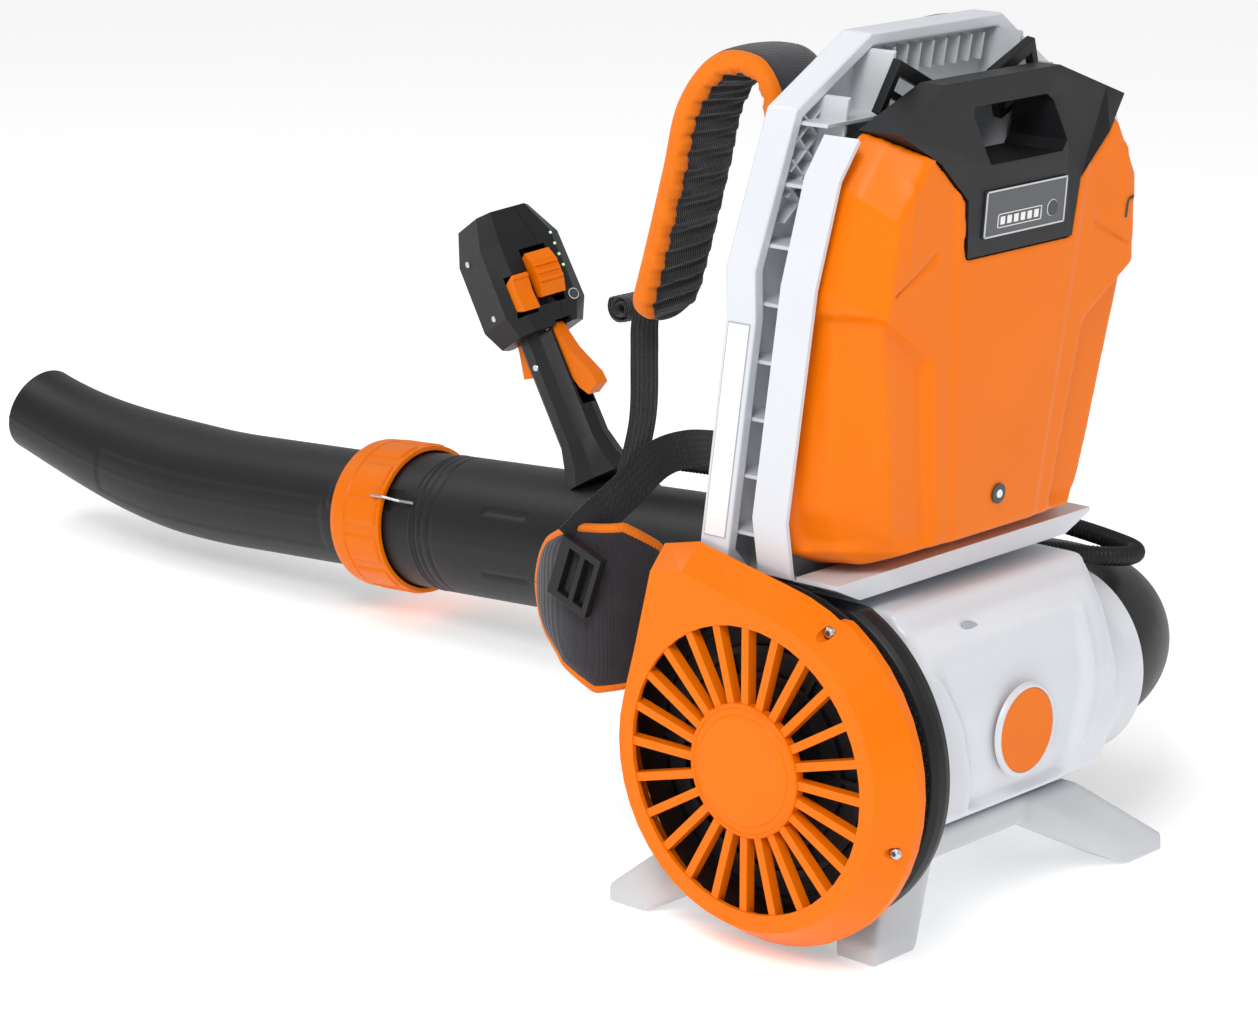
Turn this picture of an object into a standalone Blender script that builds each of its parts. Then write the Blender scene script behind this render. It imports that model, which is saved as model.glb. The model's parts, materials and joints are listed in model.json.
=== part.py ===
"""Battery backpack leaf blower, as an assembly of separate solids.

Metres, +Z up. The wearer stands on the +Y side, the blower tube runs towards +Y on the +X side,
and the air intake faces -X. Z = 0 is the ground under the feet. The design frame has its origin on
the pack's centre plane below the fan axis; ORIGIN then moves the whole object so that the frame's
origin is the middle of its footprint.
"""

import math

import bmesh
import bpy
import numpy as np
from mathutils import Matrix, Vector

# ---- driving dimensions -----------------------------------------------------------------------
ORIGIN = Vector((0.0669, 0.4990, 0.0))  # middle of the footprint, in the design frame

GAP = 0.0003  # between pieces that touch
RUN = 0.0006  # running clearance round a moving piece

FAN_Z = 0.116  # height of the fan axis
FAN_DUCT_R = 0.0580  # bore of the duct that the fan turns in
HOUSING_X = (-0.0950, 0.1000)
HOUSING_WALL = 0.0035

COVER_FACE_X = -0.1574
COVER_DEPTH = 0.0290
COVER_R = 0.1107
COVER_BEVEL = 0.0140
COVER_WALL = 0.0030
GRILLE_R = 0.0861
HUB_R = 0.0402
SPOKES = 24
SPOKE_WIDTH = 0.0052

COLLAR_END_X = 0.1550
COLLAR_R = 0.0619
COLLAR_WALL = 0.0040

LEAN = 0.150  # forward lean of the back frame, run over rise
LEAN_TOP = (-0.0100, 0.5330)  # a point (Y, Z) on the back frame's rear plane
RIM_DEPTH = 0.0220
RIM_WALL = 0.0085
TRAY_D = (0.0212, 0.0460)  # the tray's depth range behind the back frame's rear plane
TRAY_WALL = 0.0030

FACE_LEAN = 0.080  # lean of the battery's rear face
FACE_Y = -0.0713  # that face at FACE_Z
FACE_Z = 0.402
BATTERY_WALL = 0.0028

TUBE_X = 0.2336  # the tube's axis runs along Y at this X
DROOP = math.radians(3.5)  # the tube hangs this far below level
TUBE_R = 0.0515
TUBE_WALL = 0.0025
NOZZLE_R = 0.0447
NOZZLE_TIP_R = 0.0355
NOZZLE_WALL = 0.0022
BELLOWS_Y = (0.0850, 0.1500)
REAR_TUBE_END = 0.4700
MAIN_TUBE_END = 0.6120
RING_Y = (0.6450, 0.6980)
RING_R = 0.0575
NOZZLE_Y = (0.6500, 1.1000)  # inner end and tip
NOZZLE_BEND_Y = 0.8400  # where the nozzle starts to curve upwards
NOZZLE_RISE = math.radians(18.5)  # how far it has turned at its tip

STEM_Y = 0.4680  # where the control handle stands on the tube
STEM_LEAN = math.radians(30.0)
STEM_HALF = (0.0165, 0.0200)  # half width and half depth
HEAD_Z = (0.1120, 0.2060)  # the head's extent along the stem
HEAD_HALF = (0.0345, 0.0280)
HEAD_TURN = math.radians(-15.0)
SHELL_WALL = 0.0026

BADGE_Z = 0.122  # height of the round badge

BLOCK_BACK_X = COVER_FACE_X + 0.0215  # the block stops here, beside the back rim
TRAY_FOOT_Z = 0.2110  # above this height the tray and the rim pass behind the block
COVER_BLOCK = [(0.081, 0.092), (0.080, 0.118), (0.053, 0.124)]  # (Y, Z above the fan axis)

SCREW_PLACES = ((-0.0510, 0.2060), (-0.1010, 0.0860))
SCREW_HEAD_R = 0.0036
SCREW_R = 0.0018
SCREW_SEAT_X = COVER_FACE_X + 0.0160

MOTOR_X = (0.0060, 0.0540)
MOTOR_R = 0.0270
SHAFT_R = 0.0040
BEARING_R = 0.0095

PLATE_Z = (0.0440, 0.0597)  # the stand's plate
LEGS = {  # name: plate end (x range, y range), sole (x range, y range)
    "front_left": ((-0.094, -0.050), (0.040, 0.074), (-0.137, -0.084), (0.094, 0.125)),
    "front_right": ((0.050, 0.094), (0.040, 0.074), (0.102, 0.155), (0.094, 0.125)),
    "rear_left": ((-0.094, -0.050), (-0.056, -0.026), (-0.116, -0.077), (-0.066, -0.037)),
    "rear_right": ((0.050, 0.096), (-0.056, -0.026), (0.129, 0.167), (-0.072, -0.044)),
}

RIB_Z = [0.245 + 0.0345 * i for i in range(8)]
RIB_X = (-0.096, -0.060, 0.060, 0.096)
CONTROLLER = ((-0.046, 0.046), (0.0010, 0.0175), (0.288, 0.366))

LUMBAR_HALF = ((0.060, 0.0640), (0.088, 0.0760), (0.094, 0.1200), (0.094, 0.1640), (0.094, 0.2080))

BATTERY_REST_D = TRAY_D[0] + TRAY_WALL + RUN  # the battery's flat back, behind the frame's rear plane
DISPLAY = ((-0.0385, 0.0385), (0.4200, 0.4475))

WIRE_R = 0.0011  # the static wire

CONDUIT_R = 0.0060
CONDUIT_ROUTE = [
    (0.1040, -0.0080, 0.1960),
    (0.1250, -0.0120, 0.1930),
    (0.1500, -0.0220, 0.1870),
    (0.1780, -0.0290, 0.1820),
    (0.2020, -0.0200, 0.1790),
    (0.2160, 0.0050, 0.1780),
    (0.2250, 0.0500, 0.1790),
    (0.2300, 0.1100, 0.1800),
    (0.2330, 0.1800, 0.1780),
    (0.2336, 0.2600, 0.1720),
    (0.2336, 0.3400, 0.1660),
    (0.2336, 0.4000, 0.1620),
    (0.2336, 0.4340, 0.1590),
]

TRIGGER_PIVOT = (0.0135, 0.1220)  # (depth, along the stem)
LOCKOUT_PIVOT = (-0.0150, 0.1130)
SLOT_HALF = 0.0065  # half width of the levers' slots
LEVER_HALF = 0.0058  # half width of the levers

TRUNNION_R = 0.0018  # the levers' pivot pins
HEAD = Matrix.Rotation(HEAD_TURN, 4, "Z")
ROCKER = ((-0.0270, -0.0125), (0.1260, 0.1540))  # (x range, range along the stem) on the head's rear
SLIDER = ((-0.0085, 0.0125), (0.1330, 0.1670))
HEAD_SLOTS = ((*ROCKER, 0.0015, 0.0015), (*SLIDER, 0.0050, 0.0050))
POWER_PLACE = (0.0205, 0.1300)
POWER_R = 0.0032
ROCKER_PIVOT = (-0.0200, 0.1400)  # (depth, along the stem)
SLIDER_PIVOT = (-0.0100, 0.1500)

TRIGGER_OUTLINE = [(0.0105, 0.1250), (0.0165, 0.1250), (0.0215, 0.1180), (0.0235, 0.1080), (0.0290, 0.0890)]
TRIGGER_OUTLINE += [(0.0180, 0.0860), (0.0150, 0.0900), (0.0110, 0.1080)]
LOCKOUT_OUTLINE = [(-0.0110, 0.1120), (-0.0120, 0.0880), (-0.0200, 0.0640), (-0.0260, 0.0560), (-0.0375, 0.0600)]
LOCKOUT_OUTLINE += [(-0.0370, 0.0680), (-0.0250, 0.0920), (-0.0185, 0.1150)]


# ---- materials --------------------------------------------------------------------------------


def material(name, colour, roughness, metallic=0.0):
    """A Principled material from an sRGB hex colour."""
    mat = bpy.data.materials.new(name)
    mat.use_nodes = True
    shader = mat.node_tree.nodes["Principled BSDF"]
    linear = [((int(colour[i : i + 2], 16) / 255 + 0.055) / 1.055) ** 2.4 for i in (0, 2, 4)]
    shader.inputs["Base Color"].default_value = (*linear, 1.0)
    shader.inputs["Roughness"].default_value = roughness
    shader.inputs["Metallic"].default_value = metallic
    return mat


def make_materials():
    return {
        "orange": material("orange_abs", "f57c00", 0.35),
        "white": material("white_abs", "eceef0", 0.40),
        "grey": material("light_grey_abs", "d2d4d6", 0.50),
        "black": material("black_nylon", "26272a", 0.55),
        "dark": material("dark_grey_abs", "3c3e42", 0.45),
        "fabric": material("charcoal_fabric", "2c2b30", 0.90),
        "webbing": material("black_webbing", "202022", 0.85),
        "steel": material("zinc_steel", "c8ccd0", 0.30, 1.0),
        "aluminium": material("cast_aluminium", "a9adb2", 0.40, 1.0),
        "copper": material("copper_winding", "b4693a", 0.35, 1.0),
        "board": material("circuit_board", "1f5a3a", 0.50),
        "cells": material("cell_wrap", "3e6fa8", 0.45),
        "glass": material("display_window", "33373d", 0.15),
        "led": material("led_lens", "7dff9a", 0.25),
        "rubber": material("black_rubber", "191a1b", 0.75),
    }


# ---- mesh helpers -----------------------------------------------------------------------------


def new_object(name, mesh, mat, helper=False):
    obj = bpy.data.objects.new(name, mesh)
    bpy.context.scene.collection.objects.link(obj)
    if mat:
        mesh.materials.append(mat)
    if helper:
        obj.hide_render = True
        obj.display_type = "WIRE"
    return obj


def mesh_from(name, points, faces):
    """A mesh from points and faces, welded, with its faces pointing out."""
    mesh = bpy.data.meshes.new(name)
    mesh.from_pydata([tuple(map(float, p)) for p in points], [], faces)
    bm = bmesh.new()
    bm.from_mesh(mesh)
    bmesh.ops.remove_doubles(bm, verts=bm.verts, dist=1e-6)
    bmesh.ops.dissolve_degenerate(bm, edges=bm.edges, dist=1e-7)
    bmesh.ops.recalc_face_normals(bm, faces=bm.faces)
    bm.to_mesh(mesh)
    bm.free()
    return mesh


def loft(sections, closed_path=False):
    """Points and faces of loops of equal length joined in order, capped at both ends."""
    count = len(sections[0])
    points = [p for loop in sections for p in loop]
    faces = []
    spans = len(sections) if closed_path else len(sections) - 1
    for s in range(spans):
        a = s * count
        b = (s + 1) % len(sections) * count
        for i in range(count):
            j = (i + 1) % count
            faces.append((a + i, a + j, b + j, b + i))
    if not closed_path:
        faces.append(tuple(range(count)))
        faces.append(tuple(range(len(points) - count, len(points))))
    return points, faces


AXIS_ORDER = {"x": (2, 0, 1), "y": (0, 2, 1), "z": (0, 1, 2)}


def on_axis(u, v, w, axis):
    """(u, v) across the axis and w along it: X takes (Y, Z), Y takes (X, Z), Z takes (X, Y)."""
    return {"x": (w, u, v), "y": (u, w, v), "z": (u, v, w)}[axis]


def prism(outline, lo, hi, axis):
    return loft([[on_axis(u, v, w, axis) for u, v in outline] for w in (lo, hi)])


def box(lo, hi):
    corners = [(lo[0], lo[1]), (hi[0], lo[1]), (hi[0], hi[1]), (lo[0], hi[1])]
    return prism(corners, lo[2], hi[2], "z")


def circle(radius, steps, centre=(0.0, 0.0), phase=0.0):
    angles = [2 * math.pi * (i + phase) / steps for i in range(steps)]
    return [(centre[0] + radius * math.cos(a), centre[1] + radius * math.sin(a)) for a in angles]


def disc(radius, lo, hi, axis, centre=(0.0, 0.0), steps=24):
    return prism(circle(radius, steps, centre), lo, hi, axis)


def turned(profile, axis="x", centre=(0.0, FAN_Z), steps=32):
    """A closed profile of (radius, place along the axis) turned about that axis."""
    loops = []
    for i in range(steps):
        c, s = math.cos(2 * math.pi * i / steps), math.sin(2 * math.pi * i / steps)
        loops.append([on_axis(centre[0] + r * c, centre[1] + r * s, w, axis) for r, w in profile])
    return loft(loops, closed_path=True)


def pipe_wall(path, outer, inner, steps=24):
    """A hollow pipe: path is a list of (centre, direction); outer and inner give a radius for each."""
    loops = []
    for side in range(steps):
        angle = 2 * math.pi * side / steps
        rings = list(zip(path, outer)) + list(zip(path[::-1], inner[::-1]))
        loops.append([rim_point(centre, along, r, angle) for (centre, along), r in rings])
    return loft(loops, closed_path=True)


def rim_point(centre, along, radius, angle):
    """A point on the circle round centre, square to along, which lies in no X-only direction."""
    side = Vector((0, 0, 1)).cross(along).normalized()
    up = along.cross(side).normalized()
    return tuple(Vector(centre) + radius * (math.cos(angle) * side + math.sin(angle) * up))


def merged(*shapes):
    """Several closed shapes as one list of points and faces."""
    points, faces = [], []
    for p, f in shapes:
        start = len(points)
        points += list(p)
        faces += [tuple(i + start for i in face) for face in f]
    return points, faces


def moved(shape, matrix):
    return [tuple(matrix @ Vector(p)) for p in shape[0]], shape[1]


class Body:
    """A moving group: its empty stands on the joint's axis, and pieces are given in frame."""

    def __init__(self, name, frame, pivot, parent=None):
        self.frame = frame
        self.world = frame @ Matrix.Translation(pivot)
        self.empty = bpy.data.objects.new(name, None)
        bpy.context.scene.collection.objects.link(self.empty)
        if parent:
            self.empty.parent = parent.empty
            self.empty.matrix_basis = parent.world.inverted() @ self.world
        else:
            self.empty.matrix_basis = Matrix.Translation(-ORIGIN) @ self.world

    def place(self, shape):
        """The shape, given in this body's frame, in the empty's own axes."""
        return moved(shape, self.world.inverted() @ self.frame)

    def add(self, name, shape, mat, smooth=False, bevel=0.0, frame=None, helper=False):
        if frame is not None:
            shape = moved(shape, self.frame.inverted() @ frame)
        mesh = mesh_from(name, *self.place(shape))
        obj = new_object(name, mesh, mat, helper)
        obj.parent = self.empty
        if bevel:
            edge = obj.modifiers.new("edge", "BEVEL")
            edge.width = bevel
            edge.segments = 1
            edge.limit_method = "ANGLE"
            edge.angle_limit = math.radians(40)
        if smooth:
            mesh.shade_smooth()
            mesh.set_sharp_from_angle(angle=math.radians(35))
        return obj

    def boolean(self, target, shape, operation="DIFFERENCE", frame=None, self_cut=False):
        """Cuts shape out of target, joins it on, or keeps only what lies inside it."""
        tool = self.add(target.name + "_tool", shape, None, frame=frame, helper=True)
        step = target.modifiers.new(operation.lower(), "BOOLEAN")
        step.operation = operation
        step.solver = "EXACT"
        step.use_self = self_cut
        step.object = tool
        return target


# ---- the leaning back frame's own coordinates -------------------------------------------------


def behind(x, depth, z):
    """The point depth behind the back frame's rear plane, at width x and height z."""
    return (x, LEAN_TOP[0] + LEAN * (LEAN_TOP[1] - z) - depth, z)


def slab(outline, near, far):
    """An outline in (X, Z) given thickness from near to far behind the back frame's rear plane."""
    return loft([[behind(x, d, z) for x, z in outline] for d in (near, far)])


def slab_box(x, d, z):
    """A box in the back frame's coordinates: each of x, d and z is a range."""
    return slab([(x[0], z[0]), (x[1], z[0]), (x[1], z[1]), (x[0], z[1])], d[0], d[1])


def mirrored(half):
    """A closed outline from its right half, listed from the bottom to the top."""
    return list(half) + [(-x, z) for x, z in reversed(half)]


def inset(outline, amount):
    """The outline moved in by amount on every side."""
    points = [Vector(p) for p in outline]
    out = []
    for i, here in enumerate(points):
        before = (here - points[i - 1]).normalized()
        after = (points[(i + 1) % len(points)] - here).normalized()
        n1, n2 = Vector((-before.y, before.x)), Vector((-after.y, after.x))
        out.append(tuple(here + (n1 + n2) * amount / (1 + n1.dot(n2))))
    return out


def face_y(z, depth=0.0):
    """Y of the battery's rear face at height z, depth inside it."""
    return FACE_Y + FACE_LEAN * (FACE_Z - z) + depth


FRAME_OUTLINE = mirrored(
    [(0.104, 0.205), (0.132, 0.232), (0.134, 0.375), (0.140, 0.405), (0.121, 0.496), (0.061, 0.534)]
)
TRAY_OUTLINE = mirrored(
    [(0.100, 0.213), (0.128, 0.226), (0.140, 0.262), (0.1415, 0.400), (0.133, 0.462), (0.118, 0.488)]
)
COVER_BACK = mirrored(
    [(0.098, 0.229), (0.124, 0.240), (0.135, 0.268), (0.1365, 0.398), (0.127, 0.458), (0.107, 0.486)]
)
COVER_WAIST = mirrored(
    [(0.092, 0.232), (0.114, 0.243), (0.126, 0.270), (0.133, 0.396), (0.124, 0.452), (0.102, 0.482)]
)
COVER_FRONT = mirrored(
    [(0.078, 0.240), (0.090, 0.250), (0.097, 0.276), (0.119, 0.380), (0.113, 0.438), (0.090, 0.472)]
)
TOP_OUTLINE = mirrored(
    [(0.050, 0.410), (0.0535, 0.444), (0.080, 0.468), (0.1065, 0.4866), (0.092, 0.4925), (0.055, 0.508)]
)
GRIP_HOLE = mirrored([(0.034, 0.462), (0.038, 0.468), (0.038, 0.490), (0.034, 0.494)])


# ---- air path ---------------------------------------------------------------------------------


def housing_outline(grow=0.0):
    """The fan housing's section in (Y, Z), seen along the fan axis."""
    rear = [(-0.046, 0.0600), (-0.070, 0.0740), (-0.081, 0.1040), (-0.081, 0.1400), (-0.068, 0.1780)]
    top = [(-0.052, 0.2050), (0.0340, 0.2050), (0.0500, 0.1900), (0.0640, 0.1450)]
    front = [(0.0655, 0.1000), (0.0580, 0.0750), (0.0400, 0.0600)]
    return inset(list(reversed(rear + top + front)), -grow)


def bell_profile(grow=0.0):
    """The inlet bell's outer profile, which hangs below the housing at the fan's intake end."""
    lo, hi = HOUSING_X[0], HOUSING_X[0] + 0.045
    rim, throat = 0.0880 + grow, FAN_DUCT_R + 0.0040 + grow
    return [(0.0, lo - 10 * grow), (rim, lo - 10 * grow), (rim, lo + 0.006), (throat, hi), (throat, 0.09), (0.0, 0.09)]


def make_housing(pack, mats):
    """The two halves of the fan housing, split on the plane Y = 0."""
    lo, hi = HOUSING_X
    bore = [(0.0, lo - 0.01), (0.0840, lo - 0.01), (0.0840, lo + 0.006), (FAN_DUCT_R, lo + 0.045)]
    bore += [(FAN_DUCT_R, hi + 0.01), (0.0, hi + 0.01)]
    halves = (("housing_rear", (-0.2, -GAP / 2)), ("housing_front", (GAP / 2, 0.2)))
    for name, side in halves:
        shell = pack.add(name, prism(housing_outline(), lo + 0.008, hi, "x"), mats["white"], smooth=True)
        pack.boolean(shell, turned(bell_profile()), "UNION")
        pack.boolean(shell, turned(bore))
        pack.boolean(shell, box((-0.3, side[0], -0.1), (0.3, side[1], 0.4)), "INTERSECT")
    make_rear_panel(pack, mats)


def make_rear_panel(pack, mats):
    """The raised panel on the housing's rear, its badge and the badge's rim."""
    near, far = housing_outline(GAP), housing_outline(0.0030)
    strip = [p for p in far if p[0] < -0.045] + [p for p in near if p[0] < -0.045][::-1]
    outline = [(-0.056, 0.078), (0.056, 0.078), (0.070, 0.100), (0.094, 0.160), (0.092, 0.197), (-0.086, 0.197)]
    outline += [(-0.084, 0.160), (-0.068, 0.120)]
    panel = pack.add("rear_panel", prism(strip, -0.11, 0.11, "x"), mats["white"], smooth=True)
    pack.boolean(panel, prism(outline, -0.2, -0.04, "y"), "INTERSECT")
    face = -0.081 - 0.0030
    pack.add("badge_disc", disc(0.0258, face - 0.0022, face - GAP, "y", (0.0, BADGE_Z)), mats["orange"])


def make_collar(pack, mats):
    """The fixed round outlet that the elbow turns in."""
    lo, hi = HOUSING_X[1] + GAP, COLLAR_END_X
    profile = [(0.0660, lo), (0.0650, lo + 0.020), (COLLAR_R, lo + 0.034), (COLLAR_R, hi)]
    profile += [(COLLAR_R - COLLAR_WALL, hi), (COLLAR_R - COLLAR_WALL, lo + 0.030), (FAN_DUCT_R, lo)]
    pack.add("outlet_collar", turned(profile), mats["white"], smooth=True)


def cover_radius(angle, block):
    """How far the cover's edge lies from the fan axis at this angle, with its block towards +Y, +Z."""
    ring = [(COVER_R * math.cos(t), COVER_R * math.sin(t)) for t in np.linspace(0, 2 * math.pi, 97)[:-1]]
    hull = convex_hull(ring + block)
    ray = Vector((math.cos(angle), math.sin(angle)))
    best = 1.0
    for i, here in enumerate(hull):
        edge = Vector(hull[(i + 1) % len(hull)]) - Vector(here)
        normal = Vector((edge.y, -edge.x))
        if normal.dot(ray) > 1e-9:
            best = min(best, normal.dot(Vector(here)) / normal.dot(ray))
    return best


def convex_hull(points):
    """The points' hull, anticlockwise."""
    points = sorted(set(points))
    half = []
    for run in (points, points[::-1]):
        chain = []
        for p in run:
            while len(chain) > 1 and turn(chain[-2], chain[-1], p) <= 0:
                chain.pop()
            chain.append(p)
        half += chain[:-1]
    return half


def turn(a, b, c):
    return (b[0] - a[0]) * (c[1] - a[1]) - (b[1] - a[1]) * (c[0] - a[0])


def cover_outline(shrink):
    """The cover's edge in (Y, Z), moved in by shrink."""
    corners = sorted(math.atan2(z, y) for y, z in COVER_BLOCK[1:])
    angles = sorted(list(np.linspace(0, 2 * math.pi, 45)[:-1]) + corners)
    radii = [cover_radius(a, COVER_BLOCK) - shrink for a in angles]
    return [(r * math.cos(a), FAN_Z + r * math.sin(a)) for a, r in zip(angles, radii)]


def at_x(outline, x):
    return [(x, y, z) for y, z in outline]


def make_intake_cover(pack, mats):
    """The orange cover: a bevelled shell with a grille of radial spokes round a plain hub."""
    face, back = COVER_FACE_X, COVER_FACE_X + COVER_DEPTH
    shape = loft(
        [
            at_x(cover_outline(COVER_BEVEL), face),
            at_x(cover_outline(0.0), face + COVER_BEVEL * 1.6),
            at_x(cover_outline(0.0), back),
        ]
    )
    cover = pack.add("intake_cover", shape, mats["orange"])
    hollow = loft(
        [
            at_x(cover_outline(COVER_BEVEL + COVER_WALL), face + COVER_WALL),
            at_x(cover_outline(COVER_WALL), face + COVER_BEVEL * 1.6 + COVER_WALL),
            at_x(cover_outline(COVER_WALL), back + 0.01),
        ]
    )
    pack.boolean(cover, hollow)
    pack.boolean(cover, disc(GRILLE_R, face - 0.01, back, "x", (0.0, FAN_Z), 48))
    pack.boolean(cover, box((BLOCK_BACK_X, -0.2, TRAY_FOOT_Z), (0.0, 0.2, 0.4)))
    hub = disc(HUB_R, face, face + 0.0060, "x", (0.0, FAN_Z), 48)
    pack.boolean(cover, hub, "UNION")
    pack.boolean(cover, merged(*[spoke(i, face) for i in range(SPOKES)]), "UNION")
    for y, z in SCREW_PLACES:
        pack.boolean(cover, disc(SCREW_HEAD_R + GAP, face - 0.01, SCREW_SEAT_X, "x", (y, z), 16))
        pack.boolean(cover, disc(SCREW_R + GAP, face, back, "x", (y, z), 12))


def spoke(i, face):
    """One bar of the grille, sunk a little so that it stays below the hub's face."""
    reach = box(
        (face + 0.0008, -SPOKE_WIDTH / 2, HUB_R - 0.0030), (face + 0.0078, SPOKE_WIDTH / 2, GRILLE_R + 0.0030)
    )
    turn_to = Matrix.Rotation(2 * math.pi * i / SPOKES, 4, "X")
    return moved(reach, Matrix.Translation((0, 0, FAN_Z)) @ turn_to)


def make_cover_trim(pack, mats):
    """The seal behind the cover, its screws, the dark corner piece, the inlet ring and the screen."""
    back = COVER_FACE_X + COVER_DEPTH
    edge = COVER_R - 0.0026
    band = [(edge, back + GAP), (edge, back + 0.0025), (0.0880, back + 0.0025), (0.0880, back + GAP)]
    seal = pack.add("cover_seal", turned(band, steps=40), mats["rubber"])
    for y, z in SCREW_PLACES:
        pack.boolean(seal, disc(SCREW_R + GAP, back - 0.01, back + 0.01, "x", (y, z), 12))
    for label, (y, z) in zip(("upper", "lower"), SCREW_PLACES):
        head = [(0.0, SCREW_SEAT_X - 0.0032), (0.0028, SCREW_SEAT_X - 0.0032), (SCREW_HEAD_R, SCREW_SEAT_X - 0.0020)]
        head += [(SCREW_HEAD_R, SCREW_SEAT_X - GAP), (SCREW_R, SCREW_SEAT_X - GAP), (SCREW_R, back + 0.0020)]
        head += [(0.0, back + 0.0020)]
        pack.add("cover_screw_" + label, turned(head, "x", (y, z), 12), mats["steel"], smooth=True)
    lo, hi = back + 0.0028, HOUSING_X[0] - GAP
    ring = [(0.0900, lo), (0.0900, hi), (0.0845, hi), (0.0845, lo)]
    pack.add("inlet_ring", turned(ring, steps=40), mats["black"], smooth=True)
    make_screen(pack, mats, back)


def make_screen(pack, mats, back):
    """The guard inside the grille: rings tied by bars, in a rim that the cover holds."""
    lo, hi = back - 0.0060, back - 0.0030
    radii = (0.020, 0.036, 0.052, 0.068, 0.084)
    rings = [turned([(r - 0.002, lo), (r + 0.002, lo), (r + 0.002, hi), (r - 0.002, hi)], steps=24) for r in radii]
    screen = pack.add("intake_screen", merged(*rings), mats["black"])
    bar = box((lo + 0.0002, -0.084, FAN_Z - 0.0015), (hi - 0.0002, 0.084, FAN_Z + 0.0015))
    for i in range(3):
        about = Matrix.Translation((0, 0, FAN_Z)) @ Matrix.Rotation(math.pi * i / 3, 4, "X")
        pack.boolean(screen, moved(bar, about @ Matrix.Translation((0, 0, -FAN_Z))), "UNION")


# ---- fan and motor ----------------------------------------------------------------------------


def make_motor(pack, fan, mats):
    """The motor's case with its guide vanes, the windings, and the turning fan, shaft and rotor."""
    lo, hi = MOTOR_X
    case = [(MOTOR_R, lo), (MOTOR_R, hi), (BEARING_R + GAP, hi), (BEARING_R + GAP, hi - 0.006), (0.0240, hi - 0.006)]
    case += [(0.0240, lo)]
    shell = pack.add("motor_case", turned(case, steps=28), mats["aluminium"], smooth=True)
    vanes = merged(*[vane(i, 7, MOTOR_R - 0.0012, FAN_DUCT_R - 0.0006, lo + 0.004, hi - 0.006, 12) for i in range(7)])
    pack.boolean(shell, vanes, "UNION")
    coil = [(0.0234, lo + 0.010), (0.0234, hi - 0.012), (0.0150, hi - 0.012), (0.0150, lo + 0.010)]
    pack.add("stator_windings", turned(coil, steps=24), mats["copper"], smooth=True)
    for label, x in (("front", lo + 0.0004), ("rear", hi - 0.0056)):
        race = [(BEARING_R, x), (BEARING_R, x + 0.0045), (SHAFT_R + GAP, x + 0.0045), (SHAFT_R + GAP, x)]
        pack.add("bearing_" + label, turned(race, steps=20), mats["steel"], smooth=True)
    core = [(0.0, -0.0480), (SHAFT_R, -0.0480), (SHAFT_R, lo + 0.012), (0.0140, lo + 0.012), (0.0140, hi - 0.014)]
    core += [(SHAFT_R, hi - 0.014), (SHAFT_R, hi + 0.004), (0.0, hi + 0.004)]
    fan.add("rotor_shaft", turned(core, steps=20), mats["steel"], smooth=True)
    make_impeller(fan, mats, lo)


def vane(i, count, inner, outer, lo, hi, twist):
    """A flat blade set square to the axis line, twisted by this many degrees from end to end."""
    blade = box((lo, -0.0008, inner), (hi, 0.0008, outer))
    middle = Matrix.Translation((0, 0, 0)) @ Matrix.Rotation(math.radians(twist), 4, "Z")
    centred = Matrix.Translation(((lo + hi) / 2, 0, 0)) @ middle @ Matrix.Translation((-(lo + hi) / 2, 0, 0))
    around = Matrix.Rotation(2 * math.pi * i / count, 4, "X")
    return moved(blade, Matrix.Translation((0, 0, FAN_Z)) @ around @ centred)


def make_impeller(fan, mats, motor_front):
    """The fan wheel: a domed hub on the shaft with nine blades."""
    hi = motor_front - 0.0015
    hub = [(0.0, -0.0560), (0.0100, -0.0550), (0.0200, -0.0480), (0.0265, -0.0360), (0.0270, hi), (SHAFT_R + GAP, hi)]
    hub += [(SHAFT_R + GAP, -0.0484), (0.0, -0.0484)]
    wheel = fan.add("impeller", turned(hub, steps=28), mats["black"], smooth=True)
    blades = merged(*[vane(i, 9, 0.0255, FAN_DUCT_R - 0.0030, -0.0310, hi - 0.006, 38) for i in range(9)])
    fan.boolean(wheel, blades, "UNION")


# ---- base -------------------------------------------------------------------------------------


def quad(x, y, z):
    return [(x[0], y[0], z), (x[1], y[0], z), (x[1], y[1], z), (x[0], y[1], z)]


def make_base(pack, mats):
    """The splayed stand: a plate that the housing is screwed to, and four legs."""
    plate = box((-0.090, -0.052, PLATE_Z[0]), (0.094, 0.070, PLATE_Z[1]))
    stand = pack.add("base_stand", plate, mats["grey"])
    for top_x, top_y, sole_x, sole_y in LEGS.values():
        sole = quad(sole_x, sole_y, 0.0)
        rise = quad(sole_x, sole_y, 0.0110)
        top = quad(top_x, top_y, PLATE_Z[1] - 0.0010)
        knee = quad([v * 0.97 for v in top_x], [v * 0.97 for v in top_y], PLATE_Z[0] - 0.002)
        leg = hull_of(sole + rise, top + knee)
        pack.boolean(stand, leg, "UNION")
    pack.boolean(stand, turned(bell_profile(GAP * 2)))
    pack.boolean(stand, turned([(0.0, -0.3), (0.0908, -0.3), (0.0908, HOUSING_X[0]), (0.0, HOUSING_X[0])]))


def hull_of(*groups):
    """The smallest convex solid round all the points."""
    bm = bmesh.new()
    for p in [p for group in groups for p in group]:
        bm.verts.new(p)
    out = bmesh.ops.convex_hull(bm, input=bm.verts)
    loose = {v for v in out["geom_interior"] + out["geom_unused"] if isinstance(v, bmesh.types.BMVert)}
    bmesh.ops.delete(bm, geom=list(loose), context="VERTS")
    bm.verts.index_update()
    shape = [tuple(v.co) for v in bm.verts], [tuple(v.index for v in f.verts) for f in bm.faces]
    bm.free()
    return shape


# ---- back frame, tray and harness -------------------------------------------------------------


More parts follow.
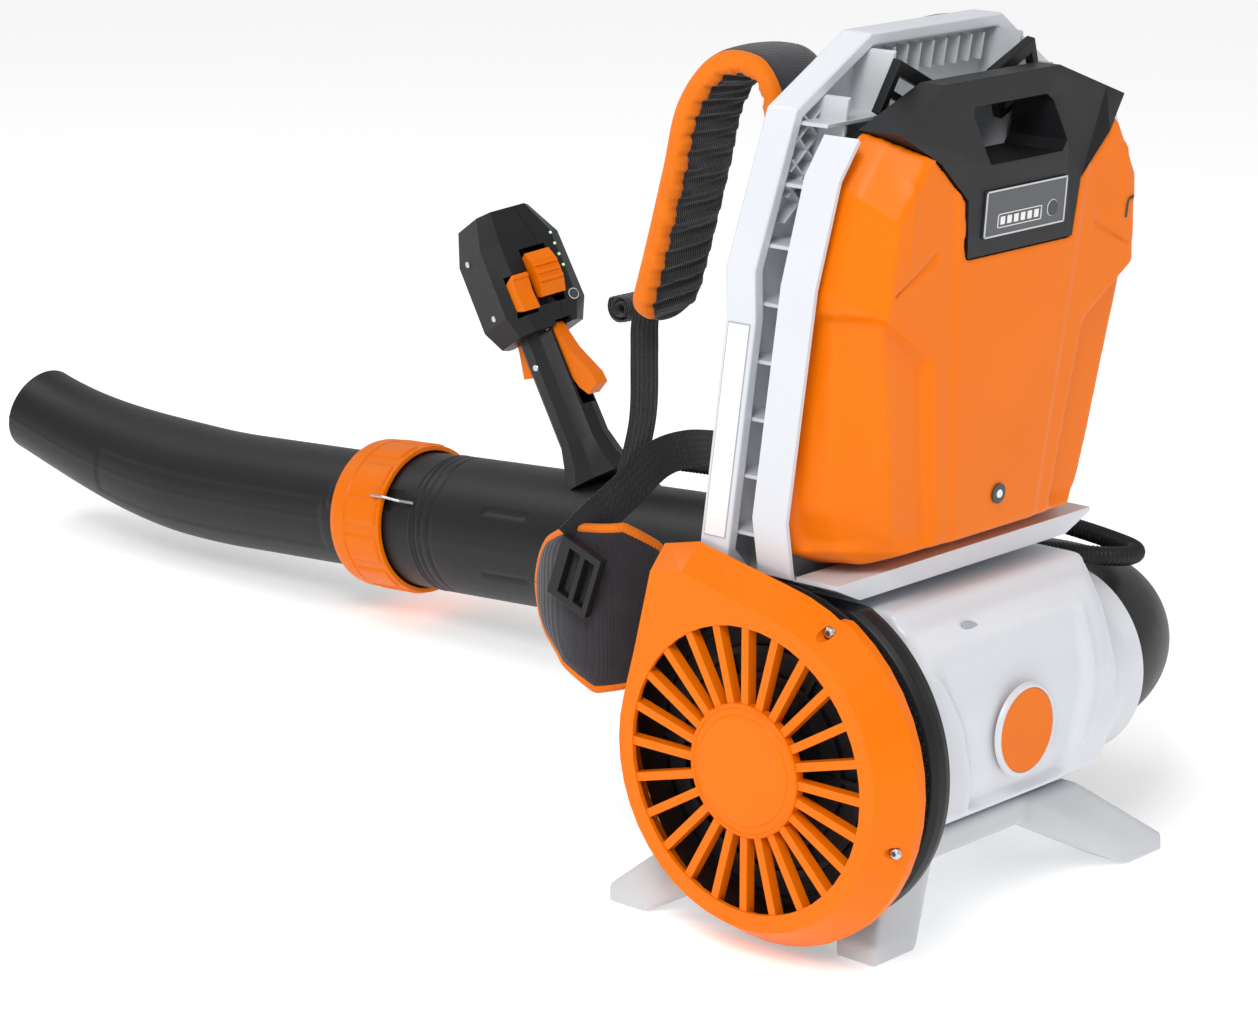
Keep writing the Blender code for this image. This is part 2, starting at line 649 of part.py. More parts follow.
def make_back_frame(pack, mats):
    """The white rim, the ribbed core it holds, and the motor controller in the core's pocket."""
    outer, inner = FRAME_OUTLINE, inset(FRAME_OUTLINE, RIM_WALL)
    rim = pack.add("back_rim", slab(outer, -RIM_DEPTH, 0.0), mats["white"])
    pack.boolean(rim, slab(inner, -RIM_DEPTH - 0.01, 0.01))
    core_edge = inset(FRAME_OUTLINE, RIM_WALL + GAP)
    core = pack.add("back_core", slab(inset(FRAME_OUTLINE, -0.005), -0.0140, -0.0100), mats["grey"])
    across = [slab_box((-0.150, 0.150), (-0.0112, 0.0180), (z, z + 0.0022)) for z in RIB_Z]
    upright = [slab_box((x - 0.0011, x + 0.0011), (-0.0118, 0.0172), (0.190, 0.550)) for x in RIB_X]
    pack.boolean(core, merged(*across), "UNION")
    pack.boolean(core, merged(*upright), "UNION")
    pack.boolean(core, slab(core_edge, -0.0300, 0.0300), "INTERSECT")
    x, d, z = CONTROLLER
    pocket = slab_box((x[0] - 0.001, x[1] + 0.001), (-0.0100, 0.030), (z[0] - 0.001, z[1] + 0.001))
    pack.boolean(core, pocket)
    pack.add("motor_controller", slab_box(x, (-0.0094, d[1]), z), mats["aluminium"], bevel=0.001)


def make_tray(pack, mats):
    """The open white tray that the battery stands in, and the power socket on its floor."""
    near, far = TRAY_D
    tray = pack.add("battery_tray", slab(TRAY_OUTLINE, near, far), mats["white"])
    pack.boolean(tray, slab(inset(TRAY_OUTLINE, TRAY_WALL), near + TRAY_WALL, far + 0.02))
    lip = mirrored([(0.060, 0.2135), (0.100, 0.2135), (0.123, 0.2240), (0.123, 0.2266), (0.060, 0.2266)])
    shelf = loft([[behind(x, d, z) for x, z in lip] for d in (far - 0.001, far + 0.030)])
    pack.boolean(tray, shelf, "UNION")
    pack.boolean(tray, slab([(-0.09, 0.45), (0.09, 0.45), (0.16, 0.53), (-0.16, 0.53)], near - 0.01, far + 0.02))
    socket = slab_box((-0.022, 0.022), (near + 0.0050, near + 0.0190), (0.2169, 0.2290))
    pack.add("power_socket", socket, mats["black"], bevel=0.0008)


def ladder_lock(pack, mats, name, frame):
    """A ladder-lock buckle: a frame with two slots and a rounded pull edge."""
    plate = pack.add(name, box((-0.0200, -0.0165, -0.0030), (0.0200, 0.0165, 0.0030)), mats["black"], frame=frame)
    for lo, hi in ((-0.0125, -0.0045), (-0.0005, 0.0085)):
        pack.boolean(plate, box((-0.0150, lo, -0.01), (0.0150, hi, 0.01)), frame=frame)


def strap_solid(path, width, thickness):
    """A flat strap: path lists (x, y, z, forward y, forward z), the last two its direction."""
    sections = []
    for x, y, z, dy, dz in path:
        size = math.hypot(dy, dz)
        ny, nz = -dz / size * thickness / 2, dy / size * thickness / 2
        sections.append(
            [
                (x - width / 2, y - ny, z - nz),
                (x + width / 2, y - ny, z - nz),
                (x + width / 2, y + ny, z + nz),
                (x - width / 2, y + ny, z + nz),
            ]
        )
    return loft(sections)


def make_harness(pack, mats):
    """Shoulder straps, webbing, hip wings, pads and buckles, one set for each side."""
    for side, label in ((-1, "left"), (1, "right")):
        strap = [
            (0.076, 0.0300, 0.4820, 0.0, 1.0),
            (0.079, 0.0310, 0.5020, 0.3, 1.0),
            (0.083, 0.0420, 0.5150, 1.0, 0.35),
            (0.088, 0.0640, 0.5130, 1.0, -0.40),
            (0.092, 0.0830, 0.4880, 0.5, -1.0),
            (0.093, 0.0930, 0.4500, 0.25, -1.0),
            (0.093, 0.1060, 0.4050, 0.32, -1.0),
            (0.092, 0.1220, 0.3560, 0.32, -1.0),
        ]
        path = [(side * x, y, z, dy, dz) for x, y, z, dy, dz in strap]
        pack.add("shoulder_strap_" + label, strap_solid(path, 0.052, 0.016), mats["fabric"])
        tail = [
            (0.092, 0.1235, 0.3540, 0.0, -1.0),
            (0.092, 0.1260, 0.3300, 0.0, -1.0),
            (0.094, 0.1250, 0.2900, 0.0, -1.0),
            (0.106, 0.1270, 0.2480, 0.1, -1.0),
        ]
        path = [(side * x, y + 0.0100, z, dy, dz) for x, y, z, dy, dz in tail]
        pack.add("strap_webbing_" + label, strap_solid(path, 0.025, 0.0022), mats["webbing"])
        make_hip_wing(pack, mats, side, label)
        top = Matrix.Translation(behind(side * 0.052, 0.0216, 0.498))
        tilt = Matrix.Rotation(math.radians(90) + math.atan(LEAN), 4, "X")
        tilt = tilt @ Matrix.Rotation(side * math.radians(25), 4, "Z")
        ladder_lock(pack, mats, "strap_buckle_" + label, top @ tilt)
    back_pad = slab(mirrored([(0.070, 0.262), (0.088, 0.285), (0.088, 0.425), (0.062, 0.462)]), -0.0420, -0.0146)
    pack.add("back_pad", back_pad, mats["fabric"], bevel=0.004)
    pack.add("lumbar_plate", waist_slab(LUMBAR_HALF, 0.0, 0.0060), mats["grey"])
    pad = ((0.074, 0.088), (0.084, 0.100), (0.084, 0.164), (0.078, 0.190))
    pack.add("lumbar_pad", waist_slab(pad, 0.0066, 0.0240), mats["fabric"], bevel=0.003)


def waist_slab(halves, near, far):
    """A slab at the waist, given as (half width, height): above the fan it bends back to meet the rim."""
    sections = []
    for half, z in halves:
        y = 0.0915 - 0.62 * max(0.0, z - 0.164)
        sections.append([(-half, y + near, z), (half, y + near, z), (half, y + far, z), (-half, y + far, z)])
    return loft(sections)


def make_hip_wing(pack, mats, side, label):
    """A padded wing that runs forward from the lumbar plate, and the buckle on it."""
    path = [(0.0915, 0.1080), (0.112, 0.1130), (0.130, 0.1290), (0.135, 0.1560), (0.128, 0.1880)]
    heights = [(0.150, 0.205), (0.136, 0.222), (0.130, 0.236), (0.142, 0.232), (0.165, 0.212)]
    sections = []
    for i, ((x, y), (lo, hi)) in enumerate(zip(path, heights)):
        before, after = path[max(0, i - 1)], path[min(len(path) - 1, i + 1)]
        run = Vector((after[0] - before[0], after[1] - before[1])).normalized()
        nx, ny = run.y * 0.006, -run.x * 0.006
        ring = [(x + nx, y + ny, lo), (x + nx, y + ny, hi), (x - nx, y - ny, hi), (x - nx, y - ny, lo)]
        sections.append([(side * px, py, pz) for px, py, pz in ring])
    pack.add("hip_wing_" + label, loft(sections), mats["fabric"])
    place = Matrix.Translation((side * 0.1450, 0.1420, 0.2040))
    face = Matrix.Rotation(math.radians(90), 4, "Y") @ Matrix.Rotation(math.radians(20), 4, "Z")
    ladder_lock(pack, mats, "hip_buckle_" + label, place @ face)


# ---- battery ----------------------------------------------------------------------------------


def section_on(outline, y_of):
    return [(x, y_of(z), z) for x, z in outline]


def battery_shell(shrink):
    """Sections of the cover from the tray edge to its rear face, moved in by shrink."""

    def edge(z):
        return behind(0, TRAY_D[1] - 0.0100, z)[1]

    back = section_on(inset(COVER_BACK, shrink), edge)
    waist = section_on(inset(COVER_WAIST, shrink), lambda z: face_y(z, 0.0230))
    front = section_on(inset(COVER_FRONT, shrink), lambda z: face_y(z, shrink))
    return [back, waist, front]


def make_battery(cell, mats):
    """The battery's shells, its top with the grip, the cells, the board and the display."""
    cover = cell.add("battery_cover", loft(battery_shell(0.0)), mats["orange"])
    inner = battery_shell(BATTERY_WALL)
    inner[0] = [(x, y + 0.010, z) for x, y, z in inner[0]]
    cell.boolean(cover, loft(inner))
    grown = inset(TOP_OUTLINE, -GAP)
    cell.boolean(cover, prism(grown, -0.12, 0.05, "y"))
    high = mirrored([(0.103, 0.2320), (0.120, 0.2440), (0.129, 0.2700), (0.130, 0.3960), (0.104, 0.4520)])
    shell = cell.add("battery_back_shell", slab(high, BATTERY_REST_D, TRAY_D[1] - 0.0125), mats["dark"])
    cell.boolean(shell, slab_box((-0.030, 0.030), (0.0, 0.0445), (0.20, 0.2420)))
    make_battery_button(cell, mats, make_battery_top(cell, mats))
    cells = loft([section_on(mirrored([(0.070, 0.256), (0.088, 0.272), (0.098, 0.392), (0.060, 0.400)]), f) for f in
                  (lambda z: behind(0, TRAY_D[1] - 0.0120, z)[1], lambda z: face_y(z, 0.0070))])
    cell.add("cell_pack", cells, mats["cells"])
    ring = [(0.0, -0.0012), (0.0062, -0.0012), (0.0062, 0.0), (0.0, 0.0)]
    seat = Matrix.Translation((0.0, face_y(0.262) - GAP, 0.262)) @ Matrix.Rotation(math.atan(FACE_LEAN), 4, "X")
    cell.add("port_ring", turned(ring, "y", (0.0, 0.0), 20), mats["dark"], frame=seat)


def make_battery_top(cell, mats):
    """The black top: it fills the cover's notch and carries the grip, the display and its button."""
    rear = [(x, face_y(z) - 0.0004, z) for x, z in TOP_OUTLINE]
    rear = [(x, y + max(0.0, (z - 0.466)) * 0.55, z) for x, y, z in rear]
    front = [(x, behind(0, TRAY_D[1] - 0.0120, z)[1], z) for x, z in TOP_OUTLINE]
    top = cell.add("battery_top", loft([front, rear]), mats["black"])
    cell.boolean(top, prism(GRIP_HOLE, -0.2, 0.2, "y"))
    hollow = [(-0.046, 0.405), (0.046, 0.405), (0.049, 0.440), (0.040, 0.4550), (-0.040, 0.4550), (-0.049, 0.440)]
    cell.boolean(top, loft([section_on(hollow, lambda z: face_y(z, 0.0035)), section_on(hollow, lambda z: 0.08)]))
    (x0, x1), (z0, z1) = DISPLAY
    window = [[(x, face_y(z) - 0.0004 + d, z) for x, z in ((x0, z0), (x1, z0), (x1, z1), (x0, z1))]
              for d in (-0.0012, 0.0015)]
    pane = cell.add("display_window", loft(window), mats["glass"])
    grown = [[(x, face_y(z) - 0.0004 + d, z) for x, z in
              ((x0 - GAP, z0 - GAP), (x1 + GAP, z0 - GAP), (x1 + GAP, z1 + GAP), (x0 - GAP, z1 + GAP))]
             for d in (-0.01, 0.0015 + GAP)]
    cell.boolean(top, loft(grown))
    seat = Matrix.Translation((0.026, face_y(0.4300) - 0.0004, 0.4300)) @ Matrix.Rotation(math.atan(FACE_LEAN), 4, "X")
    cell.boolean(top, disc(0.0050 + GAP, -0.01, 0.02, "y", steps=16), frame=seat)
    cell.boolean(pane, disc(0.0050 + GAP, -0.01, 0.02, "y", steps=16), frame=seat)
    return seat


def make_battery_button(cell, mats, seat):
    """The charge-check button, in a hole through the display window."""
    body = Body("battery_button_pivot", seat, (0, 0, 0), cell)
    body.add("battery_button", disc(0.0050 - GAP, -0.0018, 0.0030, "y", steps=16), mats["dark"])


# ---- tube -------------------------------------------------------------------------------------


def straight(y0, y1):
    return [(Vector((TUBE_X, y, 0.0)), Vector((0, 1, 0))) for y in (y0, y1)]


def make_elbow(elbow, mats):
    """The elbow that turns in the outlet collar, and the bellows it carries."""
    radius = TUBE_X - COLLAR_END_X - 0.004
    path = [(Vector((COLLAR_END_X - 0.014, 0, 0)), Vector((1, 0, 0)))]
    for i in range(9):
        a = math.pi / 2 * i / 8
        centre = Vector((TUBE_X - radius + radius * math.sin(a), radius - radius * math.cos(a), 0))
        path.append((centre, Vector((math.cos(a), math.sin(a), 0))))
    path.append((Vector((TUBE_X, BELLOWS_Y[0] - GAP, 0)), Vector((0, 1, 0))))
    outer = [TUBE_R] * len(path)
    elbow.add("elbow", pipe_wall(path, outer, [r - TUBE_WALL for r in outer]), mats["black"], smooth=True)
    lo, hi = BELLOWS_Y
    steps = 10
    folds = [(TUBE_R + (0.0015 if i % 2 else -0.0045), lo + (hi - lo) * i / steps) for i in range(steps + 1)]
    wall = folds + [(r - 0.0020, y) for r, y in reversed(folds)]
    elbow.add("bellows", turned(wall, "y", (TUBE_X, 0.0), 20), mats["rubber"])


def make_tubes(tube, mats):
    """The two fixed tubes in front of the bellows."""
    y0, y1 = BELLOWS_Y[1] + GAP, REAR_TUBE_END
    rear = [(TUBE_R - 0.002, y0), (TUBE_R - 0.002, y1), (TUBE_R - 0.002 - TUBE_WALL, y1), (TUBE_R - 0.002 - TUBE_WALL, y0)]
    tube.add("rear_tube", turned(rear, "y", (TUBE_X, 0.0), 28), mats["black"], smooth=True)
    y0 = REAR_TUBE_END - 0.035
    y1 = MAIN_TUBE_END
    r = TUBE_R
    bell = r - 0.002 + GAP
    main = [(r + 0.0004, y0), (r, y0 + 0.045), (r, y1), (r - TUBE_WALL - 0.001, y1), (r - TUBE_WALL - 0.001, y0 + 0.038)]
    main += [(bell, y0 + 0.036), (bell, y0)]
    tube.add("main_tube", turned(main, "y", (TUBE_X, 0.0), 28), mats["black"], smooth=True)
    y0, y1 = MAIN_TUBE_END + GAP, RING_Y[1] - 0.004
    front = [(r - 0.0005, y0), (r - 0.0005, y1), (NOZZLE_R + RUN, y1), (NOZZLE_R + RUN, y0)]
    tube.add("front_tube", turned(front, "y", (TUBE_X, 0.0), 28), mats["black"], smooth=True)


def make_clamp_ring(ring, mats):
    """The orange ring that turns to clamp the nozzle, with twelve flats and finger ribs."""
    y0, y1 = RING_Y
    inner = TUBE_R + RUN
    shape = turned(
        [(RING_R - 0.002, y0), (RING_R, y0 + 0.004), (RING_R, y1 - 0.004), (RING_R - 0.002, y1), (inner, y1), (inner, y0)],
        "y",
        (TUBE_X, 0.0),
        24,
    )
    ring.add("clamp_ring", shape, mats["orange"])


def nozzle_path():
    """Centres and directions down the nozzle: straight, then a long upward curve to the tip."""
    y0, tip = NOZZLE_Y
    path = [(Vector((TUBE_X, y, 0)), Vector((0, 1, 0))) for y in (y0, RING_Y[1], NOZZLE_BEND_Y)]
    length = (tip - NOZZLE_BEND_Y) / math.cos(NOZZLE_RISE / 2)
    steps = 8
    here = Vector((TUBE_X, NOZZLE_BEND_Y, 0))
    for i in range(1, steps + 1):
        middle = NOZZLE_RISE * (i - 0.5) / steps
        here = here + length / steps * Vector((0, math.cos(middle), math.sin(middle)))
        end = NOZZLE_RISE * i / steps
        path.append((here.copy(), Vector((0, math.cos(end), math.sin(end)))))
    return path


def make_nozzle(nozzle, mats):
    path = nozzle_path()
    tip = NOZZLE_Y[1]
    outer = []
    for centre, _ in path:
        t = min(1.0, max(0.0, (centre.y - 0.90) / (tip - 0.90)))
        outer.append(NOZZLE_R + (NOZZLE_TIP_R - NOZZLE_R) * t * t * (3 - 2 * t))
    inner = [r - NOZZLE_WALL for r in outer]
    nozzle.add("nozzle", pipe_wall(path, outer, inner), mats["black"], smooth=True)


def hex_wire(path, radius, steps=6):
    """A solid wire through a list of points."""
    points = [Vector(p) for p in path]
    sections = []
    for i, here in enumerate(points):
        along = (points[min(i + 1, len(points) - 1)] - points[max(i - 1, 0)]).normalized()
        sections.append([rim_point(here, along, radius, 2 * math.pi * k / steps) for k in range(steps)])
    return loft(sections)


def make_static_wire(tube, mats):
    """The wire that leads static charge off the tube: it lies on the front tube and over the ring."""
    angle = math.radians(152)
    out = Vector((math.cos(angle), 0, math.sin(angle)))
    low, high = TUBE_R - 0.0005 + WIRE_R + GAP, RING_R + WIRE_R + RUN
    places = ((low, 0.6150), (low, 0.6300), (high, 0.6420), (high, 0.6540))
    path = [Vector((TUBE_X, y, 0)) + out * r for r, y in places]
    tube.add("static_wire", hex_wire(path, WIRE_R), mats["steel"])


def smooth_points(route, per_span):
    """Points on the Catmull-Rom curve through the route."""
    knots = [Vector(p) for p in route]
    knots = [2 * knots[0] - knots[1]] + knots + [2 * knots[-1] - knots[-2]]
    out = []
    for a, b, c, d in zip(knots, knots[1:], knots[2:], knots[3:]):
        for k in range(per_span):
            t = k / per_span
            out.append(0.5 * (2 * b + (c - a) * t + (2 * a - 5 * b + 4 * c - d) * t * t
                              + (3 * b - a - 3 * c + d) * t ** 3))
    return out + [knots[-2]]


def make_conduit(tube, mats):
    """The corrugated conduit with the control cable, from the housing to the handle's foot."""
    curve = bpy.data.curves.new("conduit", "CURVE")
    curve.dimensions = "3D"
    curve.bevel_depth = CONDUIT_R
    curve.bevel_resolution = 2
    curve.use_fill_caps = True
    points = smooth_points(CONDUIT_ROUTE, 3)
    spline = curve.splines.new("POLY")
    spline.points.add(len(points) - 1)
    inverse = tube.world.inverted()
    for point, place in zip(spline.points, points):
        point.co = (*(inverse @ place), 1.0)
    curve.materials.append(mats["rubber"])
    obj = bpy.data.objects.new("conduit", curve)
    bpy.context.scene.collection.objects.link(obj)
    obj.parent = tube.empty


# ---- control handle ---------------------------------------------------------------------------


def stem_section(half_x, half_y, z, offset=0.0, steps=12):
    return [(half_x * math.cos(a), offset + half_y * math.sin(a), z) for a in
            [2 * math.pi * i / steps for i in range(steps)]]


def head_section(half_x, half_y, z, y=0.0, cut=0.35):
    """A turned octagon: a rectangle with its corners cut, in the head's own angle."""
    cx, cy = half_x * cut, half_y * cut
    ring = [(half_x, -half_y + cy), (half_x, half_y - cy), (half_x - cx, half_y), (-half_x + cx, half_y)]
    ring += [(-half_x, half_y - cy), (-half_x, -half_y + cy), (-half_x + cx, -half_y), (half_x - cx, -half_y)]
    c, s = math.cos(HEAD_TURN), math.sin(HEAD_TURN)
    return [(c * x - s * (v + y), s * x + c * (v + y), z) for x, v in ring]


def handle_solids(shrink):
    """The stem and the head as closed shapes, moved in by shrink."""
    a, b = STEM_HALF[0] - shrink, STEM_HALF[1] - shrink
    lo, hi = HEAD_Z
    stem = loft(
        [
            stem_section(a + 0.010, b + 0.014, -0.0020 + shrink),
            stem_section(a + 0.004, b + 0.005, 0.0120),
            stem_section(a + 0.001, b, 0.0300),
            stem_section(a, b, lo + 0.0200),
        ]
    )
    p, q = HEAD_HALF[0] - shrink, HEAD_HALF[1] - shrink
    head = loft(
        [
            head_section(p * 0.80, q * 0.84, lo + shrink),
            head_section(p, q, lo + 0.0160),
            head_section(p * 0.98, q, hi - 0.0260),
            head_section(p * 0.66, q * 0.86, hi - shrink, 0.004),
        ]
    )
    return stem, head


def make_handle(tube, mats, frame):
    """The two handle shells, hollow, split on the stem's middle plane, with slots for the levers."""
    stem, head = handle_solids(0.0)
    stem_in, head_in = handle_solids(SHELL_WALL)
    for name, side in (("handle_shell_left", (-0.1, -GAP / 2)), ("handle_shell_right", (GAP / 2, 0.1))):
        shell = tube.add(name, stem, mats["black"], frame=frame)
        tube.boolean(shell, head, "UNION", frame=frame)
        tube.boolean(shell, stem_in, frame=frame)
        tube.boolean(shell, head_in, frame=frame)
        keep = box((side[0], -0.1, -0.1), (side[1], 0.1, 0.3))
        tube.boolean(shell, keep, "INTERSECT", frame=frame)
        tube.boolean(shell, box((-SLOT_HALF, 0.004, 0.0830), (SLOT_HALF, 0.0500, 0.1320)), frame=frame)
        tube.boolean(shell, box((-SLOT_HALF, -0.0500, 0.0520), (SLOT_HALF, -0.0060, 0.1160)), frame=frame)
        tube.boolean(shell, turned([(0, 0.2), (0, 0.8), (TUBE_R + GAP, 0.8), (TUBE_R + GAP, 0.2)], "y", (TUBE_X, 0.0)))
        for pivot in (TRIGGER_PIVOT, LOCKOUT_PIVOT):
            tube.boolean(shell, disc(TRUNNION_R + RUN, -0.0112, 0.0112, "x", pivot, 12), frame=frame)
        for x, z, lo, hi in HEAD_SLOTS:
            tube.boolean(shell, box((x[0] - RUN, -0.05, z[0] - lo), (x[1] + RUN, -0.012, z[1] + hi)), frame=frame @ HEAD)
        x, z = POWER_PLACE
        tube.boolean(shell, disc(POWER_R + RUN, -0.05, -0.012, "y", (x, z), 16), frame=frame @ HEAD)
    tube.add("switch_board", box((-0.0016, -0.0130, 0.1360), (0.0016, 0.0130, 0.1900)), mats["board"], frame=frame)


def make_lever(tube, mats, frame, name, outline, pivot):
    """A moulded lever with a round trunnion on each side, on its own pivot."""
    body = Body(name + "_pivot", tube_frame_at(frame, pivot), (0, 0, 0), tube)
    lever = body.add(name, prism(outline, -LEVER_HALF, LEVER_HALF, "x"), mats["orange"], frame=frame)
    body.boolean(lever, disc(TRUNNION_R, -0.0100, 0.0100, "x", pivot, 12), "UNION", frame=frame)


def tube_frame_at(frame, pivot):
    return frame @ Matrix.Translation((0.0, *pivot))


def make_controls(tube, mats, frame):
    """The levers and the thumb controls."""
    make_lever(tube, mats, frame, "trigger", TRIGGER_OUTLINE, TRIGGER_PIVOT)
    make_lever(tube, mats, frame, "lockout_lever", LOCKOUT_OUTLINE, LOCKOUT_PIVOT)
    turned_frame = frame @ HEAD
    (x0, x1), (z0, z1) = ROCKER
    side = [(-0.0200, z0 + 0.004), (-0.0330, z0), (-0.0318, 0.1400), (-0.0345, z1), (-0.0200, z1 - 0.004)]
    body = Body("mode_rocker_pivot", tube_frame_at(turned_frame, ROCKER_PIVOT), (0, 0, 0), tube)
    body.add("mode_rocker", prism(side, x0, x1, "x"), mats["orange"], frame=turned_frame)
    (x0, x1), (z0, z1) = SLIDER
    side = [(-0.0210, z0 + 0.004), (-0.0325, z0), (-0.0368, 0.1410), (-0.0380, 0.1500), (-0.0368, 0.1590)]
    side += [(-0.0325, z1), (-0.0210, z1 - 0.004)]
    body = Body("speed_slider_pivot", tube_frame_at(turned_frame, SLIDER_PIVOT), (0, 0, 0), tube)
    body.add("speed_slider", prism(side, x0, x1, "x"), mats["orange"], frame=turned_frame)
    x, z = POWER_PLACE
    body = Body("power_button_pivot", turned_frame @ Matrix.Translation((x, 0, z)), (0, 0, 0), tube)
    body.add("power_button", disc(POWER_R, -0.0292, -0.0200, "y", (x, z), 16), mats["dark"], frame=turned_frame)


def build():
    for obj in list(bpy.data.objects):
        bpy.data.objects.remove(obj, do_unlink=True)
    mats = make_materials()
    pack = Body("pack_frame", Matrix(), (0, 0, 0))
    fan = Body("fan_pivot", Matrix(), (0, 0, FAN_Z), pack)
    make_housing(pack, mats)
    make_collar(pack, mats)
    make_intake_cover(pack, mats)
    make_cover_trim(pack, mats)
    make_motor(pack, fan, mats)
    make_base(pack, mats)
    make_back_frame(pack, mats)
    make_tray(pack, mats)
    make_harness(pack, mats)
    cell = Body("battery_pivot", Matrix(), (0, 0, 0.3), pack)
    make_battery(cell, mats)
    along = Matrix.Translation((0, 0, FAN_Z)) @ Matrix.Rotation(-DROOP, 4, "X")
    elbow = Body("elbow_pivot", along, (TUBE_X, 0, 0), pack)
    make_elbow(elbow, mats)
    tube = Body("tube_pivot", along, (TUBE_X, sum(BELLOWS_Y) / 2, 0), elbow)
    make_tubes(tube, mats)
    ring = Body("clamp_ring_pivot", along, (TUBE_X, RING_Y[0], 0), tube)
    make_clamp_ring(ring, mats)
    nozzle = Body("nozzle_pivot", along, (TUBE_X, NOZZLE_Y[0], 0), tube)
    make_nozzle(nozzle, mats)
    stem = along @ Matrix.Translation((TUBE_X, STEM_Y, TUBE_R)) @ Matrix.Rotation(-STEM_LEAN + DROOP, 4, "X")
    make_handle(tube, mats, stem)
    make_controls(tube, mats, stem)
    make_static_wire(tube, mats)
    make_conduit(tube, mats)


build()
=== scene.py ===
# %% [markdown]
# # A battery backpack leaf blower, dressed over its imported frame
#
# The frame holds the solids that physics uses. Each cell below gives one real piece its finish, or
# replaces a plain solid with a finer surface, and says why it is made that way.

import json
import math

import bmesh
import bpy
import numpy as np
from mathutils import Matrix, Vector
from mathutils.bvhtree import BVHTree


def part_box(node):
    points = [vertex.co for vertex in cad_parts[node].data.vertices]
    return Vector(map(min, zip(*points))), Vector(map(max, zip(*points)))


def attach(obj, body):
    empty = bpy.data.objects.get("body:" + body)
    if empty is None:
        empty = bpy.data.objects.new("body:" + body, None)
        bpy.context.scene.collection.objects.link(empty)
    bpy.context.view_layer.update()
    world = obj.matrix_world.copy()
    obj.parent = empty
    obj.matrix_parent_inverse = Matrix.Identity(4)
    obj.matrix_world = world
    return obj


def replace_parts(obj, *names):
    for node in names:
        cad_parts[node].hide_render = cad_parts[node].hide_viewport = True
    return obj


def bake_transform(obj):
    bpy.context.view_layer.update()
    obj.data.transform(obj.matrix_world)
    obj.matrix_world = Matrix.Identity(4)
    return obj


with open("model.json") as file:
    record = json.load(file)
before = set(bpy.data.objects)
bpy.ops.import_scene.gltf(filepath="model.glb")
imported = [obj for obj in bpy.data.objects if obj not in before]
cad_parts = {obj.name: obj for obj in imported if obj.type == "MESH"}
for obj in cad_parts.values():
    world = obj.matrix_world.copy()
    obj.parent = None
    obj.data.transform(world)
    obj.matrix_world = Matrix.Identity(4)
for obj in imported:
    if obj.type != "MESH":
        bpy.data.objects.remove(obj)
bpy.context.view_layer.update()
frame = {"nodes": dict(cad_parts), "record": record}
body_of_node = {n: b for b, nodes in frame["record"]["behaviour"]["bodies"].items() for n in nodes}
slot_of_node = {s["node"]: s["material_slot"] for s in frame["record"]["subparts"]}

# %% [markdown]
# ## Camera, floor and light
#
# A three-quarter view from behind and a little above, through a long lens that keeps the pack's upright
# edges nearly parallel. A big pale floor and a pale sky give the even light of a product studio, and two
# large lamps give the plastic its long soft highlights.

# %% Camera
def in_scene(name, data):
    """A new object that holds data, linked to the scene."""
    obj = bpy.data.objects.new(name, data)
    bpy.context.scene.collection.objects.link(obj)
    return obj


EYE = (-1.8639, -1.8913, 0.8311)
LOOK = (0.7182, 0.6487, -0.2517)
lens = bpy.data.cameras.new("camera")
lens.lens = 112.2
lens.sensor_width = 36.0
lens.clip_end = 200.0
camera = in_scene("camera", lens)
camera.location = EYE
camera.rotation_euler = Vector(LOOK).to_track_quat("-Z", "Y").to_euler()
bpy.context.scene.camera = camera


# %% Lamps and sky
def lamp(name, place, aim, side, watts, colour=(1.0, 1.0, 1.0)):
    """A square lamp of the given side in metres, at place, facing aim."""
    light = bpy.data.lights.new(name, "AREA")
    light.size = side
    light.energy = watts
    light.color = colour
    obj = in_scene(name, light)
    obj.location = place
    obj.rotation_euler = (Vector(aim) - Vector(place)).to_track_quat("-Z", "Y").to_euler()


lamp("lamp_over_left", (-1.6, -1.2, 1.9), (0.0, -0.3, 0.2), 0.9, 30.0)
lamp("lamp_rear_right", (1.6, -2.0, 1.1), (0.0, -0.4, 0.3), 0.6, 3.5)
lamp("lamp_front_top", (-0.4, 1.4, 2.2), (0.0, 0.0, 0.2), 1.2, 14.0)
sky = bpy.data.worlds.new("studio")
sky.use_nodes = True
air = sky.node_tree.nodes["Background"].inputs
air["Color"].default_value = (1.0, 1.0, 1.0, 1.0)
air["Strength"].default_value = 0.55
bpy.context.scene.world = sky
bpy.context.scene.view_settings.view_transform = "Standard"

# %% [markdown]
# ## Finishes
#
# Every finish starts from the real material: its colour, how glossy it is, and the texture that its mould
# or loom leaves, with that texture's size in millimetres. Patterns use object coordinates, in metres.


# %% Material helpers
def linear(hex_colour, alpha=1.0):
    """An sRGB hex colour as linear values: ((c + 0.055) / 1.055) ** 2.4 for each channel."""
    parts = [int(hex_colour[i : i + 2], 16) / 255 for i in (0, 2, 4)]
    return (*[((c + 0.055) / 1.055) ** 2.4 if c > 0.04 else c / 12.92 for c in parts], alpha)


def add(tree, kind, settings=None, **links):
    """Adds a node: settings are its properties or socket values, links are sockets fed by other outputs."""
    node = tree.nodes.new("ShaderNode" + kind)
    for key, value in (settings or {}).items():
        if key in node.inputs:
            node.inputs[key].default_value = value
        else:
            setattr(node, key, value)
    for key, output in links.items():
        tree.links.new(output, node.inputs[key.replace("_", " ")])
    return node


